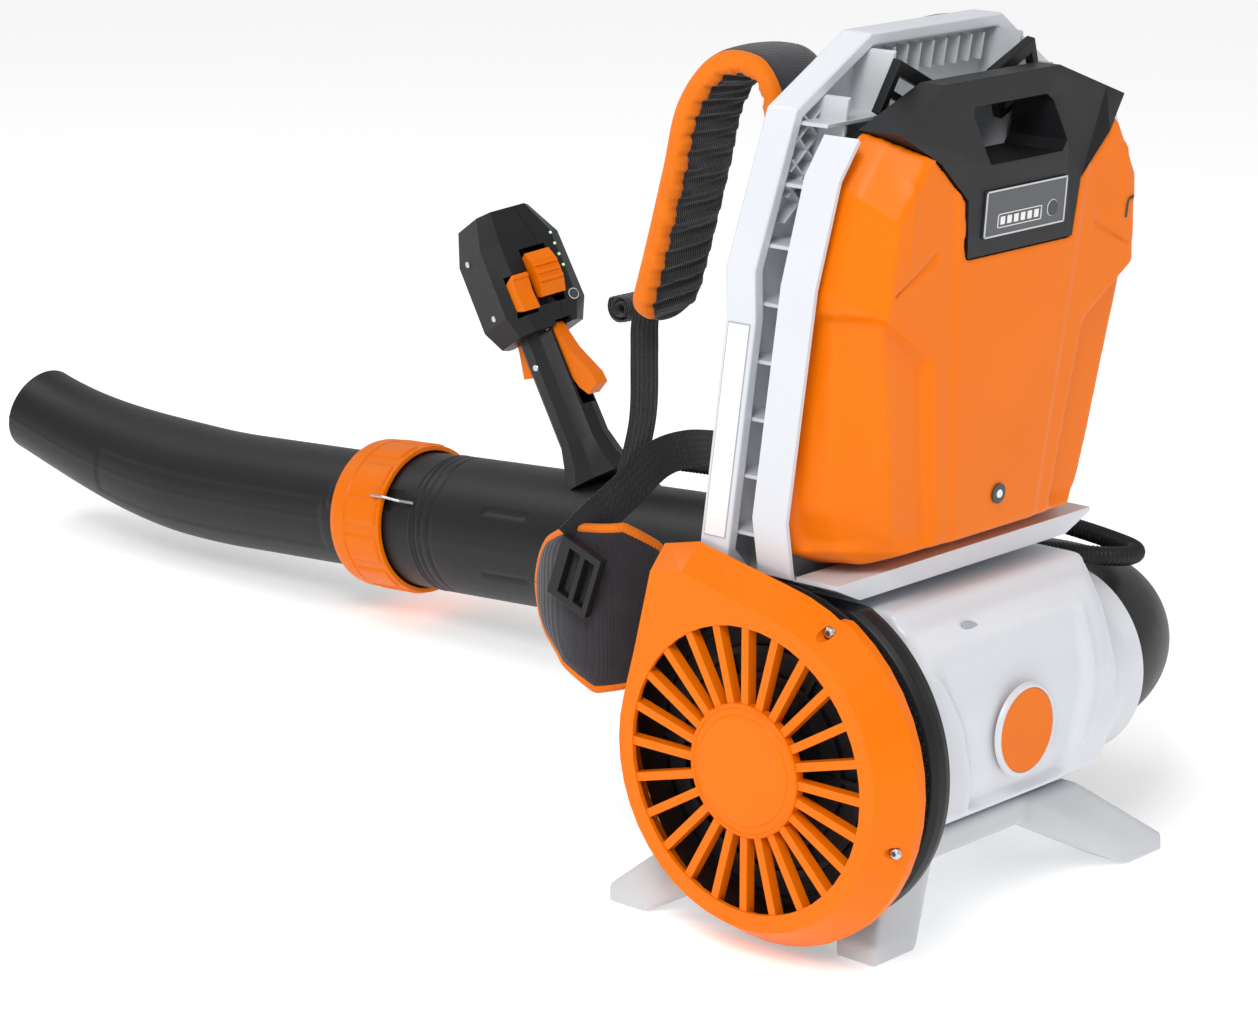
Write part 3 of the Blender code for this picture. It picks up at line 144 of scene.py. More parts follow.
def finish(name, colour, roughness, metallic=0.0, coat=0.0, sheen=0.0, specular=0.5):
    """A new material, with its tree and its shader node."""
    mat = bpy.data.materials.new(name)
    mat.use_nodes = True
    shader = mat.node_tree.nodes["Principled BSDF"]
    values = {"Base Color": linear(colour), "Roughness": roughness, "Metallic": metallic, "Coat Weight": coat,
              "Sheen Weight": sheen, "Specular IOR Level": specular}
    for key, value in values.items():
        shader.inputs[key].default_value = value
    return mat, mat.node_tree, shader


def two_shades(tree, shader, colour, shade, pattern):
    """Feeds the shader's colour with a mix of two shades, driven by a pattern."""
    tint = add(tree, "Mix", {"data_type": "RGBA"})
    tint.inputs[6].default_value = linear(colour)
    tint.inputs[7].default_value = linear(shade)
    tree.links.new(pattern.outputs["Fac"], tint.inputs["Factor"])
    tree.links.new(tint.outputs[2], shader.inputs["Base Color"])


def uneven_gloss(tree, shader, low, high, pattern):
    """Feeds the shader's roughness with a pattern that runs from low to high."""
    gloss = add(tree, "MapRange", {"To Min": low, "To Max": high}, Value=pattern.outputs["Fac"])
    tree.links.new(gloss.outputs[0], shader.inputs["Roughness"])


def per_mm(size):
    """How many repeats of a pattern of this size in millimetres fit in a metre."""
    return 1000.0 / size


def plastic(name, colour, shade, roughness, grain=0.5, depth=0.00004, coat=0.0, specular=0.5):
    """A moulded plastic: two close shades over 60 mm, uneven gloss over 9 mm, and a mould grain in mm."""
    mat, tree, shader = finish(name, colour, roughness, coat=coat, specular=specular)
    place = add(tree, "TexCoord").outputs["Object"]
    broad = add(tree, "TexNoise", {"Scale": per_mm(60), "Detail": 2.0}, Vector=place)
    two_shades(tree, shader, colour, shade, broad)
    patch = add(tree, "TexNoise", {"Scale": per_mm(9), "Detail": 3.0}, Vector=place)
    uneven_gloss(tree, shader, roughness - 0.05, roughness + 0.07, patch)
    grit = add(tree, "TexNoise", {"Scale": per_mm(grain), "Detail": 1.0}, Vector=place)
    bump = add(tree, "Bump", {"Strength": 1.0, "Distance": depth}, Height=grit.outputs["Fac"])
    tree.links.new(bump.outputs["Normal"], shader.inputs["Normal"])
    return mat


def cloth(name, colour, shade, thread, depth, sheen=0.3):
    """A woven cloth: waves along X, Y and Z, a thread apart in mm, added up into small crowns."""
    mat, tree, shader = finish(name, colour, 0.85, sheen=sheen, specular=0.2)
    place = add(tree, "TexCoord").outputs["Object"]
    crown = None
    for axis in "XYZ":
        settings = {"bands_direction": axis, "Scale": per_mm(thread) / 3.1, "Distortion": 0.4}
        wave = add(tree, "TexWave", settings, Vector=place).outputs["Fac"]
        if crown is None:
            crown = wave
            continue
        total = add(tree, "Math", {"operation": "MULTIPLY_ADD"})
        total.inputs[1].default_value = 0.5
        tree.links.new(wave, total.inputs[0])
        tree.links.new(crown, total.inputs[2])
        crown = total.outputs[0]
    fold = add(tree, "TexNoise", {"Scale": per_mm(14), "Detail": 4.0}, Vector=place)
    two_shades(tree, shader, colour, shade, fold)
    rough = add(tree, "Bump", {"Strength": 0.5, "Distance": 0.0006}, Height=fold.outputs["Fac"])
    bump = add(tree, "Bump", {"Strength": 0.9, "Distance": depth}, Height=crown, Normal=rough.outputs[0])
    tree.links.new(bump.outputs["Normal"], shader.inputs["Normal"])
    return mat


def metal(name, colour, roughness, streak=0.0):
    """A metal, with fine uneven gloss; streak in mm draws it out along Y as drawing or brushing does."""
    mat, tree, shader = finish(name, colour, roughness, metallic=1.0)
    place = add(tree, "TexCoord").outputs["Object"]
    along = add(tree, "Mapping", {"Scale": (1.0, 0.05 if streak else 1.0, 1.0)}, Vector=place)
    fine = add(tree, "TexNoise", {"Scale": per_mm(streak or 2.0), "Detail": 3.0}, Vector=along.outputs[0])
    uneven_gloss(tree, shader, roughness - 0.08, roughness + 0.12, fine)
    return mat


# %% The finishes
ORANGE = plastic("orange_abs_moulding", "ee7700", "e97000", 0.34, grain=0.8, depth=0.00002, specular=0.16)
WHITE = plastic("white_abs_moulding", "d9dce1", "d0d4da", 0.34, grain=0.7, depth=0.00002, coat=0.08)
GREY = plastic("light_grey_abs", "cfd1d4", "c2c5c9", 0.48, grain=0.7, depth=0.00003)
BLACK = plastic("black_glass_filled_nylon", "1b1c1e", "151618", 0.42, grain=0.9, depth=0.00006, specular=0.3)
DARK = plastic("dark_grey_abs", "3c3e42", "34363a", 0.42, grain=0.6)
RUBBER = plastic("black_rubber", "141516", "101112", 0.62, grain=1.2, depth=0.00006)
GLASS = finish("smoked_display_window", "34383f", 0.12, coat=0.5)[0]
CLOTH = cloth("charcoal_polyester_cloth", "2f2d33", "232126", 1.1, 0.00022)
LINING = cloth("black_mesh_lining", "1d1d20", "151517", 1.6, 0.0003)
PIPING = cloth("orange_piping_cloth", "e87a14", "db6a0c", 1.0, 0.00012, sheen=0.1)
WEBBING = cloth("black_woven_webbing", "242426", "1b1b1d", 1.3, 0.0003)
STEEL = metal("zinc_plated_steel", "c9cdd2", 0.28)
ALUMINIUM = metal("cast_aluminium", "a9adb2", 0.42)
COPPER = metal("enamelled_copper", "b4693a", 0.34, streak=0.8)
BOARD = plastic("green_solder_mask", "1f5a3a", "17492e", 0.5, grain=0.9)
CELLS = plastic("blue_shrink_wrap", "3e6fa8", "355f92", 0.4, grain=3.0)
PRINT = plastic("white_print", "f2f2f2", "e6e6e6", 0.5, grain=0.5)
# Mid grey painted shade, for the drain notch's hollow and the rim round the label; not a plastic of its own.
SHADOW_GREY = plastic("painted_shade_grey", "a9adb3", "a0a4aa", 0.5)
GAUZE = plastic("black_dust_gauze", "101112", "0c0d0e", 0.7, grain=1.4, depth=0.0002)
LED, _, led_shader = finish("green_led_lens", "c8f5c0", 0.2)
led_shader.inputs["Emission Color"].default_value = linear("9cf08c")
led_shader.inputs["Emission Strength"].default_value = 0.6
SLOT_FINISH = {
    "orange_abs": ORANGE, "white_abs": WHITE, "light_grey_abs": GREY, "black_nylon": BLACK,
    "dark_grey_abs": DARK, "black_rubber": RUBBER, "display_window": GLASS, "charcoal_fabric": CLOTH,
    "black_webbing": WEBBING, "zinc_steel": STEEL, "cast_aluminium": ALUMINIUM,
    "copper_winding": COPPER, "circuit_board": BOARD, "cell_wrap": CELLS,
}
slot_of_finish = {mat.name: slot for slot, mat in SLOT_FINISH.items()}
SIMILAR = {LINING: CLOTH, PIPING: ORANGE, GAUZE: BLACK, PRINT: WHITE, SHADOW_GREY: GREY, LED: GLASS}
for mat, nearest in SIMILAR.items():
    slot_of_finish[mat.name] = slot_of_finish[nearest.name]
for node, obj in frame["nodes"].items():
    for index in range(len(obj.material_slots)):
        obj.material_slots[index].material = SLOT_FINISH[slot_of_node[node]]
print("finishes:", len(SLOT_FINISH))

# %% [markdown]
# ## Floor
#
# A plain pale sheet, so the machine's soft shadow is all that shows on it.

# %% Floor
FLOOR_HALF = 60.0
floor_mesh = bpy.data.meshes.new("floor")
corners = [(-1, -1), (1, -1), (1, 1), (-1, 1)]
floor_mesh.from_pydata([(x * FLOOR_HALF, y * FLOOR_HALF, -0.0004) for x, y in corners], [], [(0, 1, 2, 3)])
floor = in_scene("floor", floor_mesh)
PAPER = plastic("pale_paper_sweep", "fbfbfb", "f9f9fa", 0.9, grain=5.0, depth=0.0)
paper_shader = PAPER.node_tree.nodes["Principled BSDF"]
paper_shader.inputs["Emission Color"].default_value = (1.0, 1.0, 1.0, 1.0)
paper_shader.inputs["Emission Strength"].default_value = 0.36
floor_mesh.materials.append(PAPER)


# %% [markdown]
# ## Mouldings
#
# An injection moulding has no knife edges: each corner carries a small radius that catches a thin
# highlight. A copy of the solid has its coplanar triangles merged and its edges rounded by a Bevel.


# %% Mesh helpers
def shade_by_angle(mesh, angle):
    """Smooth shading, with a hard line where two faces turn by more than angle degrees."""
    mesh.shade_smooth()
    mesh.set_sharp_from_angle(angle=math.radians(angle))


def round_edges(obj, radius, angle):
    """Rounds every edge sharper than angle degrees."""
    edge = obj.modifiers.new("edge", "BEVEL")
    edge.width = radius
    edge.segments = 2
    edge.limit_method = "ANGLE"
    edge.angle_limit = math.radians(angle)
    return edge


def new_piece(name, mesh, mat, body):
    """Puts a finished mesh in the scene with its finish: it rides on body, or on no body when body is empty."""
    obj = in_scene(name, mesh)
    mesh.materials.clear()
    mesh.materials.append(mat)
    if body:
        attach(obj, body)
    return obj


def merged_copy(node):
    """A CAD node's mesh with its loose triangles joined and its flat areas made one face each."""
    mesh = frame["nodes"][node].data.copy()
    bm = bmesh.new()
    bm.from_mesh(mesh)
    bmesh.ops.remove_doubles(bm, verts=bm.verts, dist=2e-5)
    bmesh.ops.dissolve_limit(bm, angle_limit=math.radians(1.5), verts=bm.verts, edges=bm.edges)
    bm.to_mesh(mesh)
    bm.free()
    return mesh


def moulding(node, radius, angle=24):
    """The node's surface with every edge sharper than angle degrees rounded to radius."""
    mesh = merged_copy(node)
    shade_by_angle(mesh, angle)
    piece = new_piece(node + "_moulding", mesh, SLOT_FINISH[slot_of_node[node]], body_of_node[node])
    round_edges(piece, radius, angle).harden_normals = True
    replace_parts(piece, node)


# %% Round every moulding's edges
EDGE_RADII = {
    "battery_top": 0.0018, "battery_tray": 0.0014, "battery_back_shell": 0.0015, "back_rim": 0.0018,
    "back_core": 0.0005, "intake_cover": 0.0012, "handle_shell_left": 0.0018, "handle_shell_right": 0.0018,
    "trigger": 0.0009, "lockout_lever": 0.0011, "mode_rocker": 0.0009, "strap_buckle_left": 0.0006,
    "strap_buckle_right": 0.0006, "hip_buckle_left": 0.0006, "hip_buckle_right": 0.0006,
    "lumbar_plate": 0.0012, "badge_disc": 0.0005,
    "cover_screw_upper": 0.0003, "cover_screw_lower": 0.0003, "port_ring": 0.0003,
}
for node, radius in EDGE_RADII.items():
    moulding(node, radius)
print("rounded mouldings:", len(EDGE_RADII))

# %% [markdown]
# ## Surfaces from numpy
#
# The finer pieces are grids of points: one parameter runs along the piece and the other round it. Each
# grid is worked out as a whole array, then closed into a mesh. Design coordinates have X = 0 at the middle
# of the pack, Y = 0 at the fan's axis and Z = 0 on the ground, so one matrix brings them to the frame.
# The blower tube has its own matrix, in which its axis lies along Y.


# %% Grid helpers
PACK = Matrix.Translation((-0.0669, -0.4990, 0.0))
FAN_Z = 0.116
TUBE = PACK @ Matrix.Translation((0.0, 0.0, FAN_Z)) @ Matrix.Rotation(math.radians(-3.5), 4, "X")
TUBE_X = 0.2336


def round_turn(steps):
    """Even angles round a full turn, the last one short of the first by one step."""
    return np.linspace(0, 2 * np.pi, steps, endpoint=False)


def placed(points, matrix):
    """Each point turned and moved by the matrix."""
    return np.asarray(points) @ np.array(matrix.to_3x3()).T + np.array(matrix.translation)


def grid(points, ring=True, loop=False, caps=False):
    """Four-sided faces over an n by m grid: ring joins the last column to the first, loop the last row to
    the first, and caps closes both end rows."""
    n, m = points.shape[:2]
    index = np.arange(n * m).reshape(n, m)
    if loop:
        index = np.vstack([index, index[:1]])
    if ring:
        index = np.hstack([index, index[:, :1]])
    quads = np.stack([index[:-1, :-1], index[1:, :-1], index[1:, 1:], index[:-1, 1:]], axis=-1)
    faces = quads.reshape(-1, 4).tolist()
    if caps:
        faces += [list(range(m)), list(range((n - 1) * m, n * m))]
    return points.reshape(-1, 3), faces


def together(*shapes):
    """Several (points, faces) shapes as one."""
    points, faces, start = [], [], 0
    for more, their_faces in shapes:
        points.append(np.asarray(more))
        faces += [[start + i for i in face] for face in their_faces]
        start += len(more)
    return np.vstack(points), faces


def piece_of(name, shape, mat, body="pack", matrix=PACK, angle=40, bevel=0.0):
    """A shape placed by the matrix, as a piece whose faces all point out."""
    mesh = bpy.data.meshes.new(name)
    mesh.from_pydata(placed(shape[0], matrix).tolist(), [], shape[1])
    bm = bmesh.new()
    bm.from_mesh(mesh)
    bmesh.ops.remove_doubles(bm, verts=bm.verts, dist=1e-6)
    bmesh.ops.recalc_face_normals(bm, faces=bm.faces)
    bm.to_mesh(mesh)
    bm.free()
    shade_by_angle(mesh, angle)
    obj = new_piece(name, mesh, mat, body)
    if bevel:
        round_edges(obj, bevel, 30)
    return obj


def block(lo, hi):
    """A plain box between two corners, as a grid of two rings of four points."""
    x = [lo[0], hi[0], hi[0], lo[0]]
    y = [lo[1], lo[1], hi[1], hi[1]]
    return grid(np.array([np.stack([x, y, [z] * 4], axis=1) for z in (lo[2], hi[2])]), caps=True)


def smoothstep(x, lo, hi):
    """3s^2 - 2s^3 with s = (x - lo) / (hi - lo), held between 0 and 1."""
    s = np.clip((np.asarray(x, float) - lo) / (hi - lo), 0.0, 1.0)
    return s * s * (3.0 - 2.0 * s)


def window(x, lo, hi, edge):
    """1 between lo and hi, falling to 0 over edge outside each."""
    return smoothstep(x, lo - edge, lo) * (1.0 - smoothstep(x, hi, hi + edge))


def bump_line(x, at, half):
    """A rounded ridge exp(-((x - at) / half)^2)."""
    return np.exp(-(((x - at) / half) ** 2))


def curve_through(route, count):
    """A Catmull-Rom curve through the route's points, read at count even steps of its parameter."""
    p = np.asarray(route, float)
    p = np.vstack([2 * p[0] - p[1], p, 2 * p[-1] - p[-2]])
    u = np.linspace(0, len(p) - 3 - 1e-9, count)
    i = u.astype(int)
    t = (u - i)[:, None]
    a, b, c, d = p[i], p[i + 1], p[i + 2], p[i + 3]
    return 0.5 * (2 * b + (c - a) * t + (2 * a - 5 * b + 4 * c - d) * t**2 + (3 * b - a - 3 * c + d) * t**3)


def unit_rows(rows):
    """Each row scaled to a length of one."""
    return rows / np.linalg.norm(rows, axis=1, keepdims=True)


def run_along(path):
    """The length of the path up to each of its points."""
    return np.concatenate([[0], np.cumsum(np.linalg.norm(np.diff(path, axis=0), axis=1))])


def frames_along(path, up):
    """With unit tangents T along a path: the sides S = T x up and the normals N = S x T."""
    tangent = unit_rows(np.gradient(path, axis=0))
    side = unit_rows(np.cross(tangent, np.asarray(up, float)))
    return side, np.cross(side, tangent)


def round_hose(path, radius, up, steps):
    """Rings S r cos t + N r sin t round each point of the path, with one radius or one for each point."""
    side, normal = frames_along(path, up)
    t = round_turn(steps)[None, :, None]
    ring = np.cos(t) * side[:, None] + np.sin(t) * normal[:, None]
    return grid(path[:, None] + np.reshape(radius, (-1, 1, 1)) * ring, caps=True)


def lathe(rows, steps=96, relief=None, centre=(0.0, 0.0)):
    """Points (cx + r cos t, y, cz + r sin t) for each row (y, r), with relief(y, t, r) added to r."""
    rows = np.asarray(rows, float)
    t = round_turn(steps)
    y, t = np.meshgrid(rows[:, 0], t, indexing="ij")
    r = np.repeat(rows[:, 1:2], steps, axis=1)
    if relief:
        r = r + relief(y, t, r)
    return np.stack([centre[0] + r * np.cos(t), y, centre[1] + r * np.sin(t)], axis=-1)


def dense(profile, step):
    """A (y, r) profile with rows at most step apart, corners kept."""
    out = [profile[0]]
    for (y0, r0), (y1, r1) in zip(profile, profile[1:]):
        count = max(1, math.ceil(math.hypot(y1 - y0, r1 - r0) / step))
        out += [(y0 + (y1 - y0) * k / count, r0 + (r1 - r0) * k / count) for k in range(1, count + 1)]
    return out


# %% [markdown]
# ## Blower tubes
#
# The tubes are blow-moulded or injection-moulded black nylon: round, thin, with mould seams, a raised bell
# where one socket covers the next, and shallow slots where snaps engage. A turned profile carries the
# shape, and a relief function of (length, angle) presses the seams and slots into it. That way keeps the
# detail as real geometry, which a bump map wouldn't.


# %% Straight tubes
def side_seam(t, half=0.012):
    """A ridge along both sides of a tube, at angles 0 and pi."""
    return bump_line(np.sin(t), 0.0, half)


def main_relief(y, t, r):
    """Slots pressed 1.2 mm deep, a step at the bell's edge, two grooves by the socket, two side seams."""
    outer = r > 0.0505
    along = window(y, 0.500, 0.545, 0.0008)
    slots = sum(along * bump_line(np.cos(t - a), 1.0, 0.0006) for a in (2.62, 3.55, 4.3))
    grooves = bump_line(y, 0.5965, 0.0007) + bump_line(y, 0.6060, 0.0007)
    return outer * (0.0004 * side_seam(t) - 0.0014 * slots - 0.0009 * grooves)


def tube_piece(node, outer, wall, relief):
    """A turned sleeve: out along the outer profile, and back a wall inside it."""
    inner = [(y, r - wall) for y, r in reversed(outer)]
    points = lathe(dense(outer, 0.0022) + dense(inner, 0.02), 120, relief, (TUBE_X, 0.0))
    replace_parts(piece_of(node + "_skin", grid(points, loop=True), BLACK, "tube", TUBE, angle=34), node)


REAR = [(0.1503, 0.0488), (0.1520, 0.0495), (0.4690, 0.0495), (0.4700, 0.0489)]
MAIN = [(0.4350, 0.0519), (0.4356, 0.0526), (0.4400, 0.0528), (0.4450, 0.0524), (0.4700, 0.0519)]
MAIN += [(0.6100, 0.0515), (0.6120, 0.0507)]
tube_piece("rear_tube", REAR, 0.0025, lambda y, t, r: 0.0003 * side_seam(t) * (r > 0.0485))
tube_piece("main_tube", MAIN, 0.0020, main_relief)


def front_relief(y, t, r):
    """A leaf-shaped hollow beside the wire clip, up to 2.6 mm deep, and a low rib by the bell."""
    across = (t - math.radians(152.0)) * 0.051
    along = y - 0.6420
    leaf = np.clip(1.0 - (along / 0.0260) ** 2 - (across / 0.0085) ** 2, 0.0, 1.0)
    return (r > 0.0480) * (-0.0026 * np.sqrt(leaf) + 0.0008 * bump_line(y, 0.6175, 0.0009))


FRONT = [(0.6123, 0.0503), (0.6135, 0.0510), (0.6925, 0.0510), (0.6940, 0.0500)]
inner_front = [(0.6940, 0.0462), (0.6925, 0.0453), (0.6123, 0.0453)]
rows = dense(FRONT, 0.0009) + dense(inner_front, 0.02)
sleeve = grid(lathe(rows, 180, front_relief, (TUBE_X, 0.0)), loop=True)
front = piece_of("front_tube_skin", sleeve, BLACK, "tube", TUBE, angle=34)
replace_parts(front, "front_tube")
print("straight tubes made")

# %% [markdown]
# ## Nozzle
#
# The nozzle starts straight, then bends up and narrows. Each cross-section is a circle set square to the
# bent centre line. A mould seam runs along each side, and a long shallow panel is pressed into the flanks.


# %% Nozzle
BEND_Y, TIP_Y, RISE = 0.840, 1.100, math.radians(18.5)


def nozzle_centre(s):
    """Height and slope of the centre line at run s past the bend: a circular arc that has turned by RISE."""
    length = (TIP_Y - BEND_Y) / math.cos(RISE / 2)
    turn = np.clip((s - BEND_Y) / length, 0.0, 1.0) * RISE
    radius = length / RISE
    y = np.where(s < BEND_Y, s, BEND_Y + radius * np.sin(turn))
    return y, np.where(s < BEND_Y, 0.0, radius * (1.0 - np.cos(turn))), turn


def nozzle_radius(s, end):
    """The outer radius at run s, which narrows over the bend towards the end."""
    return 0.0447 - 0.0092 * smoothstep(s, 0.90, end)


def nozzle_grid():
    """Rings r (cos t, 0, sin t) turned by the slope and moved to the centre line; out along the outside,
    then back along the bore."""
    end = BEND_Y + (TIP_Y - BEND_Y) / math.cos(RISE / 2)
    body = np.linspace(0.6535, end - 0.002, 210)
    out = np.concatenate([np.linspace(0.650, 0.652, 3), body, [end - 0.0006, end]])
    r_out = nozzle_radius(out, end) - 0.0008 * (1 - smoothstep(out, 0.650, 0.652))
    r_out[-1] -= 0.0007
    back = np.linspace(end, 0.650, 60)
    r_in = nozzle_radius(back, end) - 0.0022
    s = np.concatenate([out, back])[:, None]
    r = np.concatenate([r_out, r_in])[:, None]
    t = round_turn(144)[None, :]
    outside = np.concatenate([np.ones(len(out)), np.zeros(len(back))])[:, None]
    panel = window(s, 0.722, 0.985, 0.003) * window(np.abs(np.sin(t - 0.10)), 0.0, 0.42, 0.05)
    lug = window(s, 0.6990, 0.7120, 0.0012) * window(np.cos(t - 2.7), 0.985, 1.1, 0.004)
    lip = window(s, 0.6985, 0.7035, 0.001)
    r = r + outside * (0.0004 * side_seam(t) - 0.0007 * panel + 0.0012 * lug + 0.0004 * lip)
    y, z, turn = nozzle_centre(s)
    up = r * np.sin(t)
    return np.stack([TUBE_X + r * np.cos(t), y - up * np.sin(turn), z + up * np.cos(turn)], axis=-1)


nozzle = piece_of("nozzle_skin", grid(nozzle_grid(), loop=True), BLACK, "nozzle", TUBE, angle=34)
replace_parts(nozzle, "nozzle")
print("nozzle:", len(nozzle.data.vertices), "points")

# %% [markdown]
# ## Clamp ring
#
# A moulded orange ring that is turned by hand, so it has twelve broad finger ridges over about two thirds
# of its width and a smooth band with a small lip at each end.


# %% Clamp ring
def ring_relief(y, t, r):
    """Twelve raised bars, with flat tops and steep sides, between y .6500 and .6795."""
    phase = np.abs(((t * 12 / (2 * np.pi)) % 1.0) - 0.5) * 2
    bars = 1.0 - smoothstep(phase, 0.62, 0.74)
    return (r > 0.0545) * 0.0017 * bars * window(y, 0.6500, 0.6795, 0.0012)


RING = [(0.6450, 0.0545), (0.6453, 0.0558), (0.6462, 0.0562), (0.6480, 0.0562), (0.6488, 0.0556),
        (0.6820, 0.0556), (0.6832, 0.0566), (0.6930, 0.0566), (0.6945, 0.0560), (0.6970, 0.0556),
        (0.6980, 0.0546)]
RING_BORE = [(0.6980, 0.0527), (0.6970, 0.0521), (0.6460, 0.0521), (0.6450, 0.0528)]
points = lathe(dense(RING, 0.0008) + dense(RING_BORE, 0.02), 288, ring_relief, (TUBE_X, 0.0))
ring = piece_of("clamp_ring_skin", grid(points, loop=True), ORANGE, "clamp_ring", TUBE, angle=34)
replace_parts(ring, "clamp_ring")
print("clamp ring made")

# %% [markdown]
# ## Elbow and bellows
#
# A stiff quarter bend joins a soft rubber bellows, whose folds let the tube swing. The bend's centre line is
# an arc; the bellows is a turned wave.


# %% Elbow and bellows
ARC_R = 0.0746


def elbow_grid():
    """Rings round a line along X that turns a quarter circle to go along Y, with a 2.5 mm wall."""
    start, corner = 0.141, TUBE_X - ARC_R
    turn = np.linspace(0, np.pi / 2, 40)
    x = np.concatenate([np.linspace(start, corner, 6)[:-1], corner + ARC_R * np.sin(turn), [TUBE_X] * 4])
    y = np.concatenate([np.zeros(5), ARC_R - ARC_R * np.cos(turn), np.linspace(ARC_R + 0.002, 0.0847, 4)])
    way = np.concatenate([np.zeros(5), turn, [np.pi / 2] * 4])
    x, y, way = (np.concatenate([v, v[::-1]])[:, None] for v in (x, y, way))
    n = len(x) // 2
    r = np.concatenate([np.full(n, 0.0515), np.full(n, 0.0490)])[:, None]
    r[0] = r[-1] + 0.0018
    t = round_turn(96)[None, :]
    r = r + np.concatenate([np.ones(n), np.zeros(n)])[:, None] * 0.0004 * bump_line(np.cos(t), 0.0, 0.012)
    out = r * np.cos(t)
    return np.stack([x + out * np.sin(way), y - out * np.cos(way), r * np.sin(t) + 0 * x], axis=-1)


elbow = piece_of("elbow_skin", grid(elbow_grid(), loop=True), BLACK, "elbow", TUBE, angle=34)
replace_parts(elbow, "elbow")


def bellows_rows(folds=7):
    """Outer wave R - 1.5 mm + 3 mm cos, with a slim wall inside it."""
    y = np.linspace(0.0851, 0.1499, folds * 12 + 1)
    wave = 0.0500 + 0.0028 * np.cos((y - y[0]) / (y[-1] - y[0]) * 2 * np.pi * folds)
    return np.concatenate([np.stack([y, wave], 1), np.stack([y, wave - 0.0018], 1)[::-1]])


folds = grid(lathe(bellows_rows(), 72, None, (TUBE_X, 0.0)), loop=True)
bellows = piece_of("bellows_skin", folds, RUBBER, None, TUBE, angle=60)
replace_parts(bellows, "bellows")
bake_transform(bellows)

# %% [markdown]
# ## Conduit
#
# The control cable runs in a corrugated conduit: rings 3 mm apart on a flexible tube. It crosses two joints,
# so it is made in two lengths that meet on the elbow.


# %% Conduit
ROUTE = [
    (0.104, -0.008, 0.196), (0.125, -0.012, 0.193), (0.150, -0.022, 0.187), (0.178, -0.029, 0.182),
    (0.202, -0.020, 0.179), (0.216, 0.005, 0.178), (0.225, 0.050, 0.179), (0.230, 0.110, 0.180),
    (0.233, 0.180, 0.178), (0.2336, 0.260, 0.172), (0.2336, 0.340, 0.166), (0.2336, 0.400, 0.162),
    (0.2336, 0.434, 0.159),
]


def corrugated(path, pitch, radius, depth, steps=14):
    """Rings of radius + depth cos(2 pi s / pitch), s being the length so far, five rows to a pitch."""
    run = run_along(path)
    s = np.arange(0, run[-1], pitch / 5)
    centre = np.stack([np.interp(s, run, path[:, k]) for k in range(3)], axis=1)
    return round_hose(centre, radius + depth * np.cos(2 * np.pi * s / pitch), (0.0, 0.0, 1.0), steps)


route = curve_through(ROUTE, 600)
cut = int(600 * 5.3 / 12)  # where the two lengths meet, just past the sixth point
near, far = (piece_of("conduit_" + label, corrugated(part, 0.0034, 0.0057, 0.0006), BLACK, None, angle=60)
             for label, part in (("near", route[: cut + 1]), ("far", route[cut:])))
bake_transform(near)
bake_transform(far)
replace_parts(far, "conduit")
print("conduit:", len(near.data.vertices) + len(far.data.vertices), "points")

# %% [markdown]
# ## Shoulder straps
#
# Each strap is foam in a gathered black lining, with a charcoal cloth on top and a broad orange binding
# along its outer edge. A simulation would lose the binding's seams, so the cross-section is a rounded
# oblong carried along the strap's curve, and the gathers are waves that run across the lining.


# %% Soft strips
def signed_power(v, power):
    """sign(v) |v|^power, which squares off a circle as the power falls."""
    return np.sign(v) * np.abs(v) ** power


def strip_frames(path, across):
    """With unit tangents T along a path: the width S (across made square to T) and N = S x T."""
    tangent = unit_rows(np.gradient(path, axis=0))
    across = np.asarray(across, float)
    side = unit_rows(across - (tangent @ across)[:, None] * tangent)
    return side, np.cross(side, tangent)


def round_ends(count, share):
    """Half widths that close like a half ellipse over the first and last share of the length."""
    u = np.linspace(0, 1, count)
    end = np.clip(np.minimum(u, 1 - u) / share, 0.0, 1.0)
    return np.sqrt(np.clip(1 - (1 - end) ** 2, 0.0004, 1.0))


def soft_strip(path, across, width, depth, gather, pitch=0.013, round_share=0.05, square=0.6):
    """Rings S (w/2) c + N (d/2) s with c, s = signed powers of cos t and sin t; gathers of the given height
    wave along the inner face, where sin t is negative."""
    side, normal = strip_frames(path, across)
    t = round_turn(64)[None, :]
    run = run_along(path)[:, None]
    ends = round_ends(len(path), round_share)[:, None]
    wave = np.sin(2 * np.pi * run / pitch + 1.6 * np.sin(run * 61.0) + 1.2 * np.cos(2 * t + run * 40.0))
    wave = wave + 0.5 * np.sin(2 * np.pi * run / (pitch * 0.43) + 3.0 * np.cos(t) + 2.0)
    low = np.clip(-np.sin(t), 0.0, 1.0)
    c = 0.5 * np.asarray(width).reshape(-1, 1) * ends * signed_power(np.cos(t), square)
    s = 0.5 * depth * (0.35 + 0.65 * ends) * signed_power(np.sin(t), square)
    s = s - gather * ends * low * (0.5 + 0.5 * wave)
    return path[:, None] + c[..., None] * side[:, None] + s[..., None] * normal[:, None]


def skin_over(points, first, last, lift, under=0.0012):
    """A thin closed strip over columns first to last of a ring grid: those points lifted outwards, and
    the same points sunk back under the surface."""
    centre = points.mean(axis=1, keepdims=True)
    columns = np.arange(first, last + 1) % points.shape[1]
    chosen = points[:, columns]
    out = chosen - centre
    out = out / np.linalg.norm(out, axis=2, keepdims=True)
    edge = np.sin(np.linspace(0, np.pi, len(columns))) ** 0.35
    top = chosen + out * (lift * edge)[None, :, None]
    return np.concatenate([top, (chosen - out * under)[:, ::-1]], axis=1)


